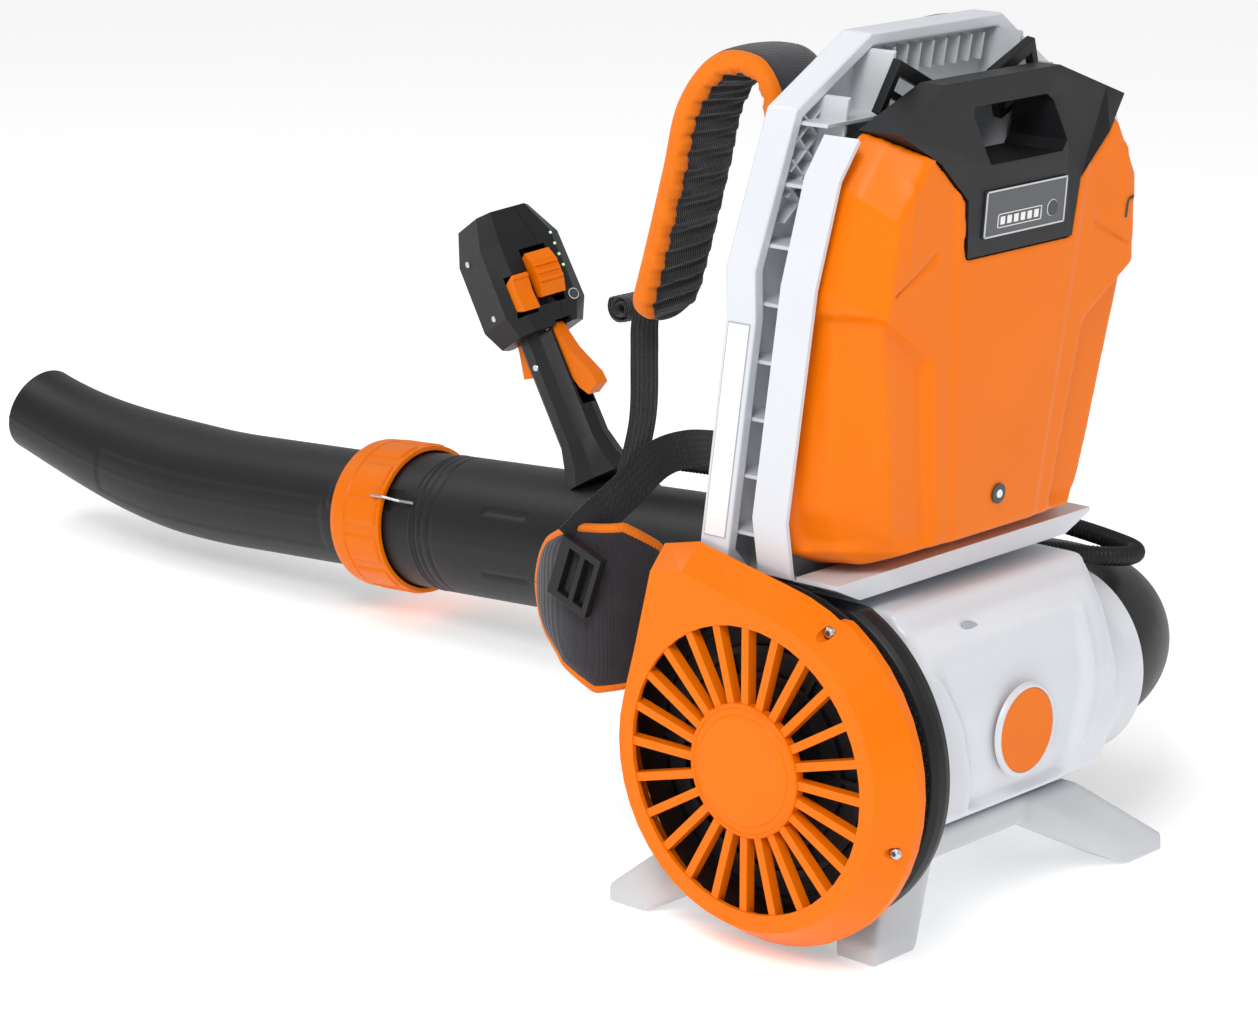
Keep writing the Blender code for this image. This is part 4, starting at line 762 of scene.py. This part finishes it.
# %% The two straps
STRAP = [
    (0.076, 0.030, 0.482), (0.079, 0.031, 0.502), (0.083, 0.042, 0.515), (0.088, 0.064, 0.513),
    (0.092, 0.083, 0.488), (0.093, 0.093, 0.450), (0.093, 0.106, 0.405), (0.092, 0.122, 0.356),
]
for label, way in (("left", -1), ("right", 1)):
    line = curve_through(STRAP, 300) * (way, 1, 1)
    rings = soft_strip(line, (1, 0, 0), 0.050, 0.0150, gather=0.0022)
    core = piece_of("strap_lining_" + label, grid(rings, caps=True), LINING, angle=80)
    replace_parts(core, "shoulder_strap_" + label)
    cover = skin_over(rings, 1, 31, 0.0011)
    piece_of("strap_cover_" + label, grid(cover, caps=True), CLOTH, angle=60)
    middle = 32 if way < 0 else 0
    band = skin_over(rings[5:-3], middle - 9, middle + 9, 0.0018)
    piece_of("strap_binding_" + label, grid(band, caps=True), PIPING, angle=60)
    other = skin_over(rings[5:-3], 32 - middle - 4, 32 - middle + 4, 0.0012)
    piece_of("strap_edge_" + label, grid(other, caps=True), CLOTH, angle=60)
print("straps made")

# %% [markdown]
# ## Webbing
#
# Black polyester webbing, 25 mm wide and 1.5 mm thick. It is woven with cords along its length, so the
# thin cross-section carries shallow ribs, and the band waves a little between its two fixings.


# %% Webbing bands
def band_rings(path, across, width=0.0245, thick=0.0016, ribs=6, edges=40):
    """A flat oblong ring along the path, its two faces ribbed by cos(2 pi ribs u)."""
    side, normal = strip_frames(path, across)
    u = np.concatenate([np.linspace(-1, 1, edges), np.linspace(1, -1, edges)])[None, :]
    face = np.concatenate([np.ones(edges), -np.ones(edges)])[None, :]
    bulge = 0.5 * thick * np.sqrt(np.clip(1.02 - u**8, 0.02, 1.0))
    rise = face * (bulge + 0.00014 * np.cos(np.pi * ribs * u))
    flat = 0.5 * width * u + 0 * rise
    return path[:, None] + flat[..., None] * side[:, None] + rise[..., None] * normal[:, None]


def webbing(name, route, across, ripple, count=160):
    """A band along the route, waving a little by ripple."""
    line = curve_through(route, count)
    normal = strip_frames(line, across)[1]
    line = line + ripple * np.sin(np.linspace(0, 9.0, count))[:, None] * normal
    return piece_of(name, grid(band_rings(line, across), caps=True), WEBBING, angle=50)


DOWN = [(0.092, 0.1300, 0.372), (0.092, 0.1345, 0.350), (0.092, 0.136, 0.330), (0.094, 0.135, 0.290),
        (0.106, 0.137, 0.248)]
CROSS = [(0.139, 0.150, 0.222), (0.128, 0.139, 0.238), (0.108, 0.1335, 0.252), (0.090, 0.126, 0.268),
         (0.080, 0.108, 0.276), (0.078, 0.080, 0.280)]
for label, way in (("left", -1), ("right", 1)):
    down, cross = ([(way * x, y, z) for x, y, z in route] for route in (DOWN, CROSS))
    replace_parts(webbing("webbing_" + label, down, (1, 0, 0), 0.0007), "strap_webbing_" + label)
    webbing("webbing_cross_" + label, cross, (0.4 * way, 0.3, 1.0), 0.0004)
    turn = np.linspace(0.4, 4.2 * np.pi, 200)
    roll = 0.0030 + 0.00048 * turn
    x, y, z = way * (0.092 + 0 * turn), 0.1446 + roll * np.cos(turn), 0.3600 + roll * np.sin(turn)
    curl = np.stack([x, y, z], axis=1)
    rolled = grid(band_rings(curl, (1, 0, 0), 0.0245, 0.0012, edges=20), caps=True)
    piece_of("webbing_curl_" + label, rolled, WEBBING, angle=50)
print("webbing made")

# %% [markdown]
# ## Hip wings and pads
#
# The wings are flat foam pads in charcoal cloth with an orange binding on their rims. The back pad and the
# lumbar pad are crowned cushions: thickest in the middle, pulled in at the seam round the edge.


# %% Hip wings
WING_LINE = [(0.0915, 0.108), (0.112, 0.113), (0.130, 0.129), (0.135, 0.156), (0.128, 0.188)]
WING_HEIGHTS = [(0.150, 0.205), (0.136, 0.222), (0.130, 0.236), (0.142, 0.232), (0.165, 0.212)]
for label, way in (("left", -1), ("right", 1)):
    middle = [(way * x, y, (lo + hi) / 2) for (x, y), (lo, hi) in zip(WING_LINE, WING_HEIGHTS)]
    line = curve_through(middle, 150)
    height = np.interp(np.linspace(0, 4, 150), range(5), [hi - lo for lo, hi in WING_HEIGHTS])
    rings = soft_strip(line, (0, 0, 1), height - 0.004, 0.0105, 0.0003, 0.03, round_share=0.1, square=0.5)
    wing = piece_of("hip_wing_cloth_" + label, grid(rings, caps=True), CLOTH, angle=80)
    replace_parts(wing, "hip_wing_" + label)
    rim = np.concatenate([rings[6:, 0], rings[:5:-1, 32]])[::4]
    binding = corrugated(curve_through(rim, 400), 0.0022, 0.0034, 0.00008, steps=12)
    piece_of("hip_wing_binding_" + label, binding, PIPING, angle=80)


# %% Back pad and lumbar pad
def cushion(lo, hi, lean, steps=60):
    """A crowned block: half depth d (1 - x^4)^0.5 (1 - z^4)^0.5, sewn down along two channels, with its
    middle leaning by lean metres per metre of height."""
    u = np.sin(np.linspace(-np.pi / 2, np.pi / 2, steps))[:, None]
    v = np.sin(np.linspace(-np.pi / 2, np.pi / 2, steps))[None, :]
    crown = np.sqrt(np.clip(1 - u**4, 0, 1)) * np.sqrt(np.clip(1 - v**4, 0, 1))
    channel = 1 - 0.35 * bump_line(np.abs(v), 0.36, 0.05) * smoothstep(1 - np.abs(u), 0.0, 0.15)
    x = (lo[0] + hi[0]) / 2 + (hi[0] - lo[0]) / 2 * u * (1 - 0.05 * v**2)
    z = (lo[2] + hi[2]) / 2 + (hi[2] - lo[2]) / 2 * v * (1 - 0.05 * u**2)
    y = (lo[1] + hi[1]) / 2 - lean * (z - (lo[2] + hi[2]) / 2)
    half = (hi[1] - lo[1]) / 2 - abs(lean) * (hi[2] - lo[2]) / 2
    front = np.stack([x, y + half * crown * channel, z], axis=-1)
    rear = np.stack([x, y - half * crown * 0.8, z], axis=-1)
    a, faces = grid(front, ring=False)
    b, more = grid(rear, ring=False)
    return together((a, faces), (b, [face[::-1] for face in more]))


PADS = {"back_pad": ((-0.087, 0.017, 0.263), (0.087, 0.071, 0.461), 0.15),
        "lumbar_pad": ((-0.083, 0.085, 0.090), (0.083, 0.115, 0.189), 0.0)}
for node, (lo, hi, lean) in PADS.items():
    pad = piece_of(node + "_cushion", cushion(lo, hi, lean), LINING, angle=80)
    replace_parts(pad, node)
print("wings and pads made")

# %% [markdown]
# ## Sculpted shells
#
# The big shells have soft edges and shallow facets that no bevel gives. Each is remade as an even skin of
# small squares over its solid, eased a few times, and then its points are moved by a formula. Creases
# and recesses are in the geometry, so they hold up from every side.


# %% Fine skins
def skin_piece(name, mesh, voxel, rounds, shape, mat, body, angle):
    """A mesh remeshed at voxel metres, eased by rounds passes, then moved by shape(points)."""
    blank = in_scene("blank", mesh)
    skin = blank.modifiers.new("skin", "REMESH")
    skin.mode = "VOXEL"
    skin.voxel_size = voxel
    ease = blank.modifiers.new("ease", "SMOOTH")
    ease.factor = 0.5
    ease.iterations = rounds
    fine = bpy.data.meshes.new_from_object(blank.evaluated_get(bpy.context.evaluated_depsgraph_get()))
    bpy.data.objects.remove(blank)
    points = np.empty(len(fine.vertices) * 3)
    fine.vertices.foreach_get("co", points)
    points = placed(points.reshape(-1, 3), PACK.inverted())
    if shape:
        points = shape(points)
    fine.vertices.foreach_set("co", placed(points, PACK).ravel())
    shade_by_angle(fine, angle)
    fine.name = name
    return new_piece(name, fine, mat, body)


def fine_skin(node, voxel, rounds, shape=None):
    """The fine skin of one node, which stands for it."""
    mat = SLOT_FINISH[slot_of_node[node]]
    piece = skin_piece(node + "_skin", merged_copy(node), voxel, rounds, shape, mat, body_of_node[node], 50)
    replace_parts(piece, node)
    return piece


# %% The battery's orange cover
def battery_facets(p):
    """Moves the rear face in beside a centre panel, sinks both flanks below a slanting shoulder line, and
    presses a small wedge into each shoulder."""
    x, y, z = p[:, 0], p[:, 1], p[:, 2]
    side = np.abs(x)
    panel = 0.056 + (z - 0.404) * 0.107
    inner = 0.0710 + (z - 0.354) * 0.155
    shoulder = 0.356 + np.clip(side - 0.0715, -0.02, 0.05) * 0.62
    skin = smoothstep(-y, 0.006, 0.022)
    crease = 0.0014 * smoothstep(side - panel, -0.0005, 0.0045)
    sunk = 0.0068 * smoothstep(side - inner, -0.001, 0.0080) * (1 - smoothstep(z - shoulder, -0.0070, 0.0010))
    sunk = sunk * smoothstep(z, 0.234, 0.250)
    run = (side - 0.076) / 0.036
    rise = z - (0.4150 - 0.018 * run)
    wedge = window(run, 0.0, 1.0, 0.03) * np.clip(1 - np.abs(rise) / (0.0006 + 0.0042 * (1 - run)), 0, 1)
    ridge = bump_line(side, 0.1015, 0.0016) * window(z, 0.415, 0.458, 0.004) * smoothstep(-y, 0.04, 0.06)
    depth = (crease + sunk + 0.0022 * wedge * (y < -0.05) - 0.0011 * ridge) * skin
    out = p.copy()
    out[:, 1] += depth * 0.85
    out[:, 0] -= np.sign(x) * depth * 0.55 * smoothstep(side, 0.07, 0.12)
    return out


cover = fine_skin("battery_cover", 0.0019, 5, battery_facets)
print("battery cover:", len(cover.data.polygons), "faces")

# %% The cells, drawn in a little so the recessed flanks clear them
data = frame["nodes"]["cell_pack"].data
cells = np.empty(len(data.vertices) * 3)
data.vertices.foreach_get("co", cells)
cells = cells.reshape(-1, 3)
middle = (cells.min(axis=0) + cells.max(axis=0)) / 2
drawn = (cells - middle) * (0.86, 0.80, 0.97) + middle + (0.0, 0.0030, 0.0)
wrap = (drawn, [list(f.vertices) for f in data.polygons])
pack_cells = piece_of("cell_pack_wrap", wrap, CELLS, "battery", Matrix(), angle=25, bevel=0.0008)
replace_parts(pack_cells, "cell_pack")

# %% The white fan housing
FRAME_LINE = [(-0.092, 0.176), (-0.076, 0.166), (-0.067, 0.148), (-0.057, 0.112), (-0.050, 0.087),
              (-0.043, 0.080), (0.0, 0.079), (0.044, 0.080), (0.052, 0.086), (0.061, 0.118), (0.070, 0.152),
              (0.074, 0.186)]
frame_curve = curve_through([(x, 0.0, z) for x, z in FRAME_LINE], 260)[:, [0, 2]]


def framed_panel(p):
    """Raises a ridge 3 mm high along the frame's line on the rear side, fading at its two upper ends, and
    sinks the panel that it surrounds by 2 mm."""
    gap = np.hypot(p[:, None, 0] - frame_curve[None, :, 0], p[:, None, 2] - frame_curve[None, :, 1])
    near = gap.argmin(axis=1)
    far = gap.min(axis=1)
    rear = smoothstep(-p[:, 1], 0.030, 0.050)
    fade = np.clip(np.minimum(near, len(frame_curve) - 1 - near) / 26.0, 0.0, 1.0)
    half = np.interp(p[:, 2], [0.079, 0.084, 0.112, 0.150, 0.176], [0.040, 0.048, 0.056, 0.067, 0.070])
    inside = smoothstep(half - np.abs(p[:, 0]), 0.0, 0.006) * smoothstep(p[:, 2], 0.080, 0.086)
    inside = inside * (1 - smoothstep(p[:, 2], 0.150, 0.185))
    out = p.copy()
    out[:, 1] += rear * (0.0026 * inside - 0.0036 * fade * bump_line(far, 0.0, 0.0040))
    return out


def merged_skin(name, nodes, voxel, rounds, shape):
    """Several touching solids remeshed into one skin, as one moulding with no gap, then moved by shape."""
    bm = bmesh.new()
    for node in nodes:
        bm.from_mesh(frame["nodes"][node].data)
    bmesh.ops.remove_doubles(bm, verts=bm.verts, dist=2e-5)
    mesh = bpy.data.meshes.new(name)
    bm.to_mesh(mesh)
    bm.free()
    piece = skin_piece(name, mesh, voxel, rounds, shape, WHITE, "pack", 60)
    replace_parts(piece, *nodes)
    return piece


WHITE_SHELLS = ("housing_front", "housing_rear", "rear_panel")
housing = merged_skin("fan_housing", WHITE_SHELLS, 0.0023, 22, framed_panel)
print("housing:", len(housing.data.polygons), "faces")
fine_skin("base_stand", 0.0020, 9)


# %% Outlet collar
def lathe_x(rows, steps=120, relief=None):
    """Points (x, r cos t, FAN_Z + r sin t) for each row (x, r)."""
    return lathe(rows, steps, relief, (0.0, FAN_Z))[..., [1, 0, 2]]


COLLAR = [(0.1003, 0.0662), (0.1020, 0.0668), (0.1180, 0.0664), (0.1260, 0.0650), (0.1340, 0.0624),
          (0.1400, 0.0619), (0.1544, 0.0619), (0.1550, 0.0613), (0.1550, 0.0580), (0.1350, 0.0580),
          (0.1003, 0.0582)]
collar = piece_of("outlet_collar_skin", grid(lathe_x(dense(COLLAR, 0.003)), loop=True), WHITE)
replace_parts(collar, "outlet_collar")

# %% [markdown]
# ## Intake side
#
# Behind the grille there is a dust gauze, then a black ring with fine slanted fins that lets the fan draw
# air round the sides too. The hub carries a plain raised disc inside a turned groove.


# %% Inlet ring, gauze and hub
def fins(x, t, r):
    """72 slanted teeth, 3.4 mm high, next to the cover, and a flat where the tray passes over the ring."""
    phase = (t * 72 / (2 * np.pi) + x * 260.0) % 1.0
    teeth = 0.0034 * window(phase, 0.18, 0.48, 0.10) * window(x, -0.1240, -0.1135, 0.0012)
    below_tray = np.where(np.sin(t) > 0.2, 0.0940 / np.maximum(np.sin(t), 0.2), 1.0)
    return np.minimum(r + (r > 0.0880) * teeth, below_tray) - r


INLET = [(-0.1255, 0.0975), (-0.1250, 0.0980), (-0.1125, 0.0980), (-0.1110, 0.1015), (-0.1075, 0.1040),
         (-0.1020, 0.1048), (-0.0975, 0.1040), (-0.0958, 0.1020), (-0.0954, 0.0990), (-0.0954, 0.0850),
         (-0.1255, 0.0850)]
inlet = grid(lathe_x(dense(INLET, 0.0010), 720, fins), loop=True)
ring = piece_of("inlet_ring_skin", inlet, BLACK, angle=34)
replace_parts(ring, "inlet_ring")
gauze = np.array([(-0.1300, 0.0004), (-0.1300, 0.0868), (-0.1306, 0.0868), (-0.1306, 0.0004)])
piece_of("intake_gauze", grid(lathe_x(gauze, 64), loop=True), GAUZE)
HUB = [(-0.1570, 0.0002), (-0.1583, 0.0002), (-0.1583, 0.0318), (-0.1580, 0.0328), (-0.1573, 0.0334),
       (-0.1560, 0.0336)]
piece_of("hub_disc", grid(lathe_x(dense(HUB, 0.004), 160), loop=True), ORANGE, angle=30)
HUB_LIP = [(-0.1570, 0.0374), (-0.1580, 0.0377), (-0.1584, 0.0384), (-0.1580, 0.0393), (-0.1570, 0.0397)]
piece_of("hub_lip", grid(lathe_x(HUB_LIP, 160), loop=True), ORANGE, angle=60)


def star(y, z, x0, x1, radius):
    """A six-lobed star, radius (1 + 0.18 cos 6t), from x0 to x1, standing for a screw's socket as painted
    shade.
    """
    t = round_turn(48)
    r = radius * (1 + 0.18 * np.cos(6 * t))
    ends = [np.stack([x + 0 * t, y + r * np.cos(t), z + r * np.sin(t)], axis=1) for x in (x0, x1)]
    return grid(np.stack(ends), caps=True)


# Each cover screw gets a dark grey star just proud of its head: painted shade for its socket, which is not
# cut.
for label, (y, z) in zip(("upper", "lower"), ((-0.0510, 0.2060), (-0.1010, 0.0860))):
    lo = placed([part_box("cover_screw_" + label)[0]], PACK.inverted())[0][0]
    piece_of("painted_socket_shade_" + label, star(y, z, lo - 0.0001, lo + 0.001, 0.0015), DARK)
print("intake side made")

# %% [markdown]
# ## Badge
#
# A round badge sits in a white ring on the rear panel. The badge stays plain. A small teardrop notch above it
# lets water out of the screw well; the notch is a thin mid-grey lens laid on the panel, painted shade for its
# hollow.


# %% Badge ring and teardrop
white_points, white_faces = [], []
for node in WHITE_SHELLS:
    data = frame["nodes"][node].data
    start = len(white_points)
    white_points += [v.co.copy() for v in data.vertices]
    white_faces += [[start + i for i in f.vertices] for f in data.polygons]
white_tree = BVHTree.FromPolygons(white_points, white_faces)


def from_behind(tree, x, z):
    """The first point of the tree's surface straight in from behind at (x, z), in design coordinates."""
    hit = tree.ray_cast(PACK @ Vector((x, -0.25, z)), Vector((0, 1, 0)))[0]
    return tuple(PACK.inverted() @ hit)


rows = [(-0.0848, 0.0256), (-0.0866, 0.0259), (-0.0869, 0.0268), (-0.0860, 0.0281), (-0.0838, 0.0288)]
piece_of("badge_ring", grid(lathe(rows, 128, None, (0.0, 0.122)), loop=True), WHITE, angle=50)
# The notch's hollow is not cut: a grey lens laid on the white panel paints its shade.
spot = from_behind(white_tree, -0.030, 0.1885)
u = np.linspace(-1, 1, 24)[:, None]
v = round_turn(24)[None, :]
fat = np.sqrt(np.clip(1 - u**2, 0.0004, 1)) * (1 - 0.35 * u)
drop = np.stack([spot[0] + 0.0085 * u + 0 * v, spot[1] + 0.0010 * fat * np.cos(v),
                 spot[2] - 0.002 * u + 0.0030 * fat * np.sin(v)], axis=-1)
piece_of("drain_notch_shade", grid(drop, caps=True), SHADOW_GREY, angle=60)
print("rear panel made")

# %% [markdown]
# ## Battery display
#
# A smoked window with a thin frame, six charge marks in a cell outline and a round switch symbol.


# %% Display graphics
DISPLAY_PLANE = PACK @ Matrix.Translation((0.0, -0.0754, 0.43375)) @ Matrix.Rotation(math.atan(0.08), 4, "X")


def border(x0, x1, z0, z1, wide, rise=0.0005):
    """A rectangular frame of four bars on the display's plane."""
    bars = [((x0, z0), (x1, z0 + wide)), ((x0, z1 - wide), (x1, z1)),
            ((x0, z0), (x0 + wide, z1)), ((x1 - wide, z0), (x1, z1))]
    return together(*[block((a[0], -rise, a[1]), (b[0], 0.0006, b[1])) for a, b in bars])


starts = [0.0064 * k for k in range(6)]
marks = [block((-0.0235 + x, -0.0004, -0.0072), (-0.0196 + x, 0.0006, -0.0026)) for x in starts]
for name, shape, mat in (("display_frame", border(-0.0384, 0.0384, -0.0137, 0.0137, 0.0009), GREY),
                         ("display_marks", together(*marks), PRINT),
                         ("display_cell", border(-0.0262, 0.0152, -0.0090, -0.0008, 0.0004), PRINT)):
    piece_of(name, shape, mat, "battery", DISPLAY_PLANE)
rows = [(-0.0003, 0.0044), (-0.0003, 0.0050), (0.0006, 0.0050), (0.0006, 0.0044)]
symbol = lathe(rows, 128, None, (0.026, -0.0038))
piece_of("display_switch_ring", grid(symbol, loop=True), PRINT, "battery", DISPLAY_PLANE)
port = np.array(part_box("port_ring"))
centre = placed([(port[0] + port[1]) / 2], PACK.inverted())[0]
PIN = [(-0.0012, 0.0004), (-0.0012, 0.0023), (-0.0006, 0.0026), (0.0008, 0.0026), (0.0008, 0.0004)]
pin = lathe([(centre[1] + y, r) for y, r in PIN], 128, None, (centre[0], centre[2]))
piece_of("port_pin", grid(pin, loop=True), PRINT, "battery")

# %% [markdown]
# ## Handle details
#
# Four charge lamps and the switch sit beside the thumb controls. The slider has three grip steps. Steel
# screws close the two halves of the head, and one closes the stem.

# %% Lamps, steps and screws
STEM = TUBE @ Matrix.Translation((TUBE_X, 0.468, 0.0515)) @ Matrix.Rotation(math.radians(-26.5), 4, "X")
HEAD = STEM @ Matrix.Rotation(math.radians(-15.0), 4, "Z")


def disc_y(x, y0, y1, z, radius):
    """A round stud along Y from y0 to y1 with a slightly smaller outer face."""
    rows = [(y0, radius * 0.85), (y0 + (y1 - y0) * 0.25, radius), (y1, radius)]
    return grid(lathe(rows, 24, None, (x, z)), caps=True)


def disc_x(x0, x1, y, z, radius):
    """The same stud along X."""
    points, faces = disc_y(y, x0, x1, z, radius)
    return points[:, [1, 0, 2]], faces


lamps = together(*[disc_y(0.0215, -0.0286, -0.0270, 0.1780 - 0.0085 * k, 0.0011) for k in range(4)])
piece_of("handle_lamps", lamps, LED, "tube", HEAD)
rows = [(-0.0283, 0.0036), (-0.0283, 0.0041), (-0.0270, 0.0041), (-0.0270, 0.0036)]
symbol = lathe(rows, 128, None, (0.0205, 0.130))
piece_of("handle_switch_ring", grid(symbol, loop=True), PRINT, "tube", HEAD)
STEP_Z = (0.1440, 0.1500, 0.1560)
steps = [block((-0.0080, -0.0392, z - 0.0016), (0.0120, -0.0355, z + 0.0016)) for z in STEP_Z]
piece_of("slider_steps", together(*steps), ORANGE, "speed_slider", HEAD, bevel=0.0006)
rocker = block((-0.0265, -0.0352, 0.1500), (-0.0130, -0.0320, 0.1532))
piece_of("rocker_step", rocker, ORANGE, "mode_rocker", HEAD, bevel=0.0008)
screws = together(*[disc_x(-0.0352, -0.0335, y, z, 0.0024) for y, z in ((0.0040, 0.1780), (-0.0020, 0.1330))])
piece_of("head_screws", screws, STEEL, "tube", HEAD)
piece_of("stem_screw", disc_x(-0.0172, -0.0155, 0.0030, 0.0900, 0.0026), STEEL, "tube", STEM)


# %% Blank label plate on the rim
def rim_y(z):
    """The rear edge of the leaning frame at height z."""
    return -0.010 + 0.15 * (0.533 - z)


def label_points(grow, lift):
    """A thin plate on the rim's left side: x follows the side, y leans with the frame."""
    rows = []
    for z in np.linspace(0.2440 - grow, 0.3720 + grow, 12):
        x = -(0.132 + 0.002 * (z - 0.232) / 0.143)
        lo, hi = rim_y(z) + 0.0035 - grow, rim_y(z) + 0.0185 + grow
        rows.append([(x - lift, lo, z), (x - lift, hi, z), (x + 0.0004, hi, z), (x + 0.0004, lo, z)])
    return np.array(rows)


# The grey plate, a little larger than the label and just under it, is painted shade round the label's edge.
piece_of("label_edge", grid(label_points(0.0007, 0.0003), caps=True), SHADOW_GREY, angle=30)
piece_of("label_face", grid(label_points(0.0, 0.0005), caps=True), PRINT, angle=30)
print("details made")

# %% [markdown]
# ## Ribs and small marks
#
# The back frame's core is stiffened by thin crossed ribs in its upper corners and short upright ones along
# its top, as thin as a moulding can fill. A thin dark line of painted shade follows a crease on the battery's
# right shoulder.


# %% Crossed ribs
def rib(a, b, thick=0.0013):
    """An upright blade from (x, z) a to b, on the core's plate, 9 mm deep along the frame's lean."""
    a, b = np.asarray(a), np.asarray(b)
    across = np.array([-(b - a)[1], (b - a)[0]]) / np.hypot(*(b - a)) * thick / 2
    rows = []
    for depth in (0.0012, 0.0104):
        ring = [a - across, b - across, b + across, a + across]
        rows.append([(x, rim_y(z) + depth, z) for x, z in ring])
    return grid(np.array(rows), caps=True)


blades = [rib((0.012 * k, 0.507), (0.012 * k, 0.523)) for k in range(-4, 5)]
for way in (-1, 1):
    for k in range(4):
        blades.append(rib((way * 0.117, 0.430 + 0.015 * k), (way * 0.093, 0.452 + 0.015 * k)))
        blades.append(rib((way * 0.093, 0.430 + 0.015 * k), (way * 0.117, 0.452 + 0.015 * k)))
piece_of("core_ribs", together(*blades), GREY, angle=30, bevel=0.0003)

# %% Painted shade along a crease on the battery's shoulder
cover_tree = BVHTree.FromObject(cover, bpy.context.evaluated_depsgraph_get())
CREASE_SHADE_POINTS = [(0.1205, 0.4560), (0.1235, 0.4490), (0.1235, 0.4400), (0.1190, 0.4310), (0.1110, 0.4250),
         (0.1070, 0.4230), (0.1060, 0.4130)]
crease_shade = curve_through([from_behind(cover_tree, x, z) for x, z in CREASE_SHADE_POINTS], 90)
# A dark grey hose 0.9 mm thick, laid on the cover along the crease: painted shade, not a part.
piece_of("crease_shade_line", round_hose(crease_shade, 0.0009, (0.0, 1.0, 0.0), 10), DARK, "battery", angle=60)
print("ribs and painted crease shade made")
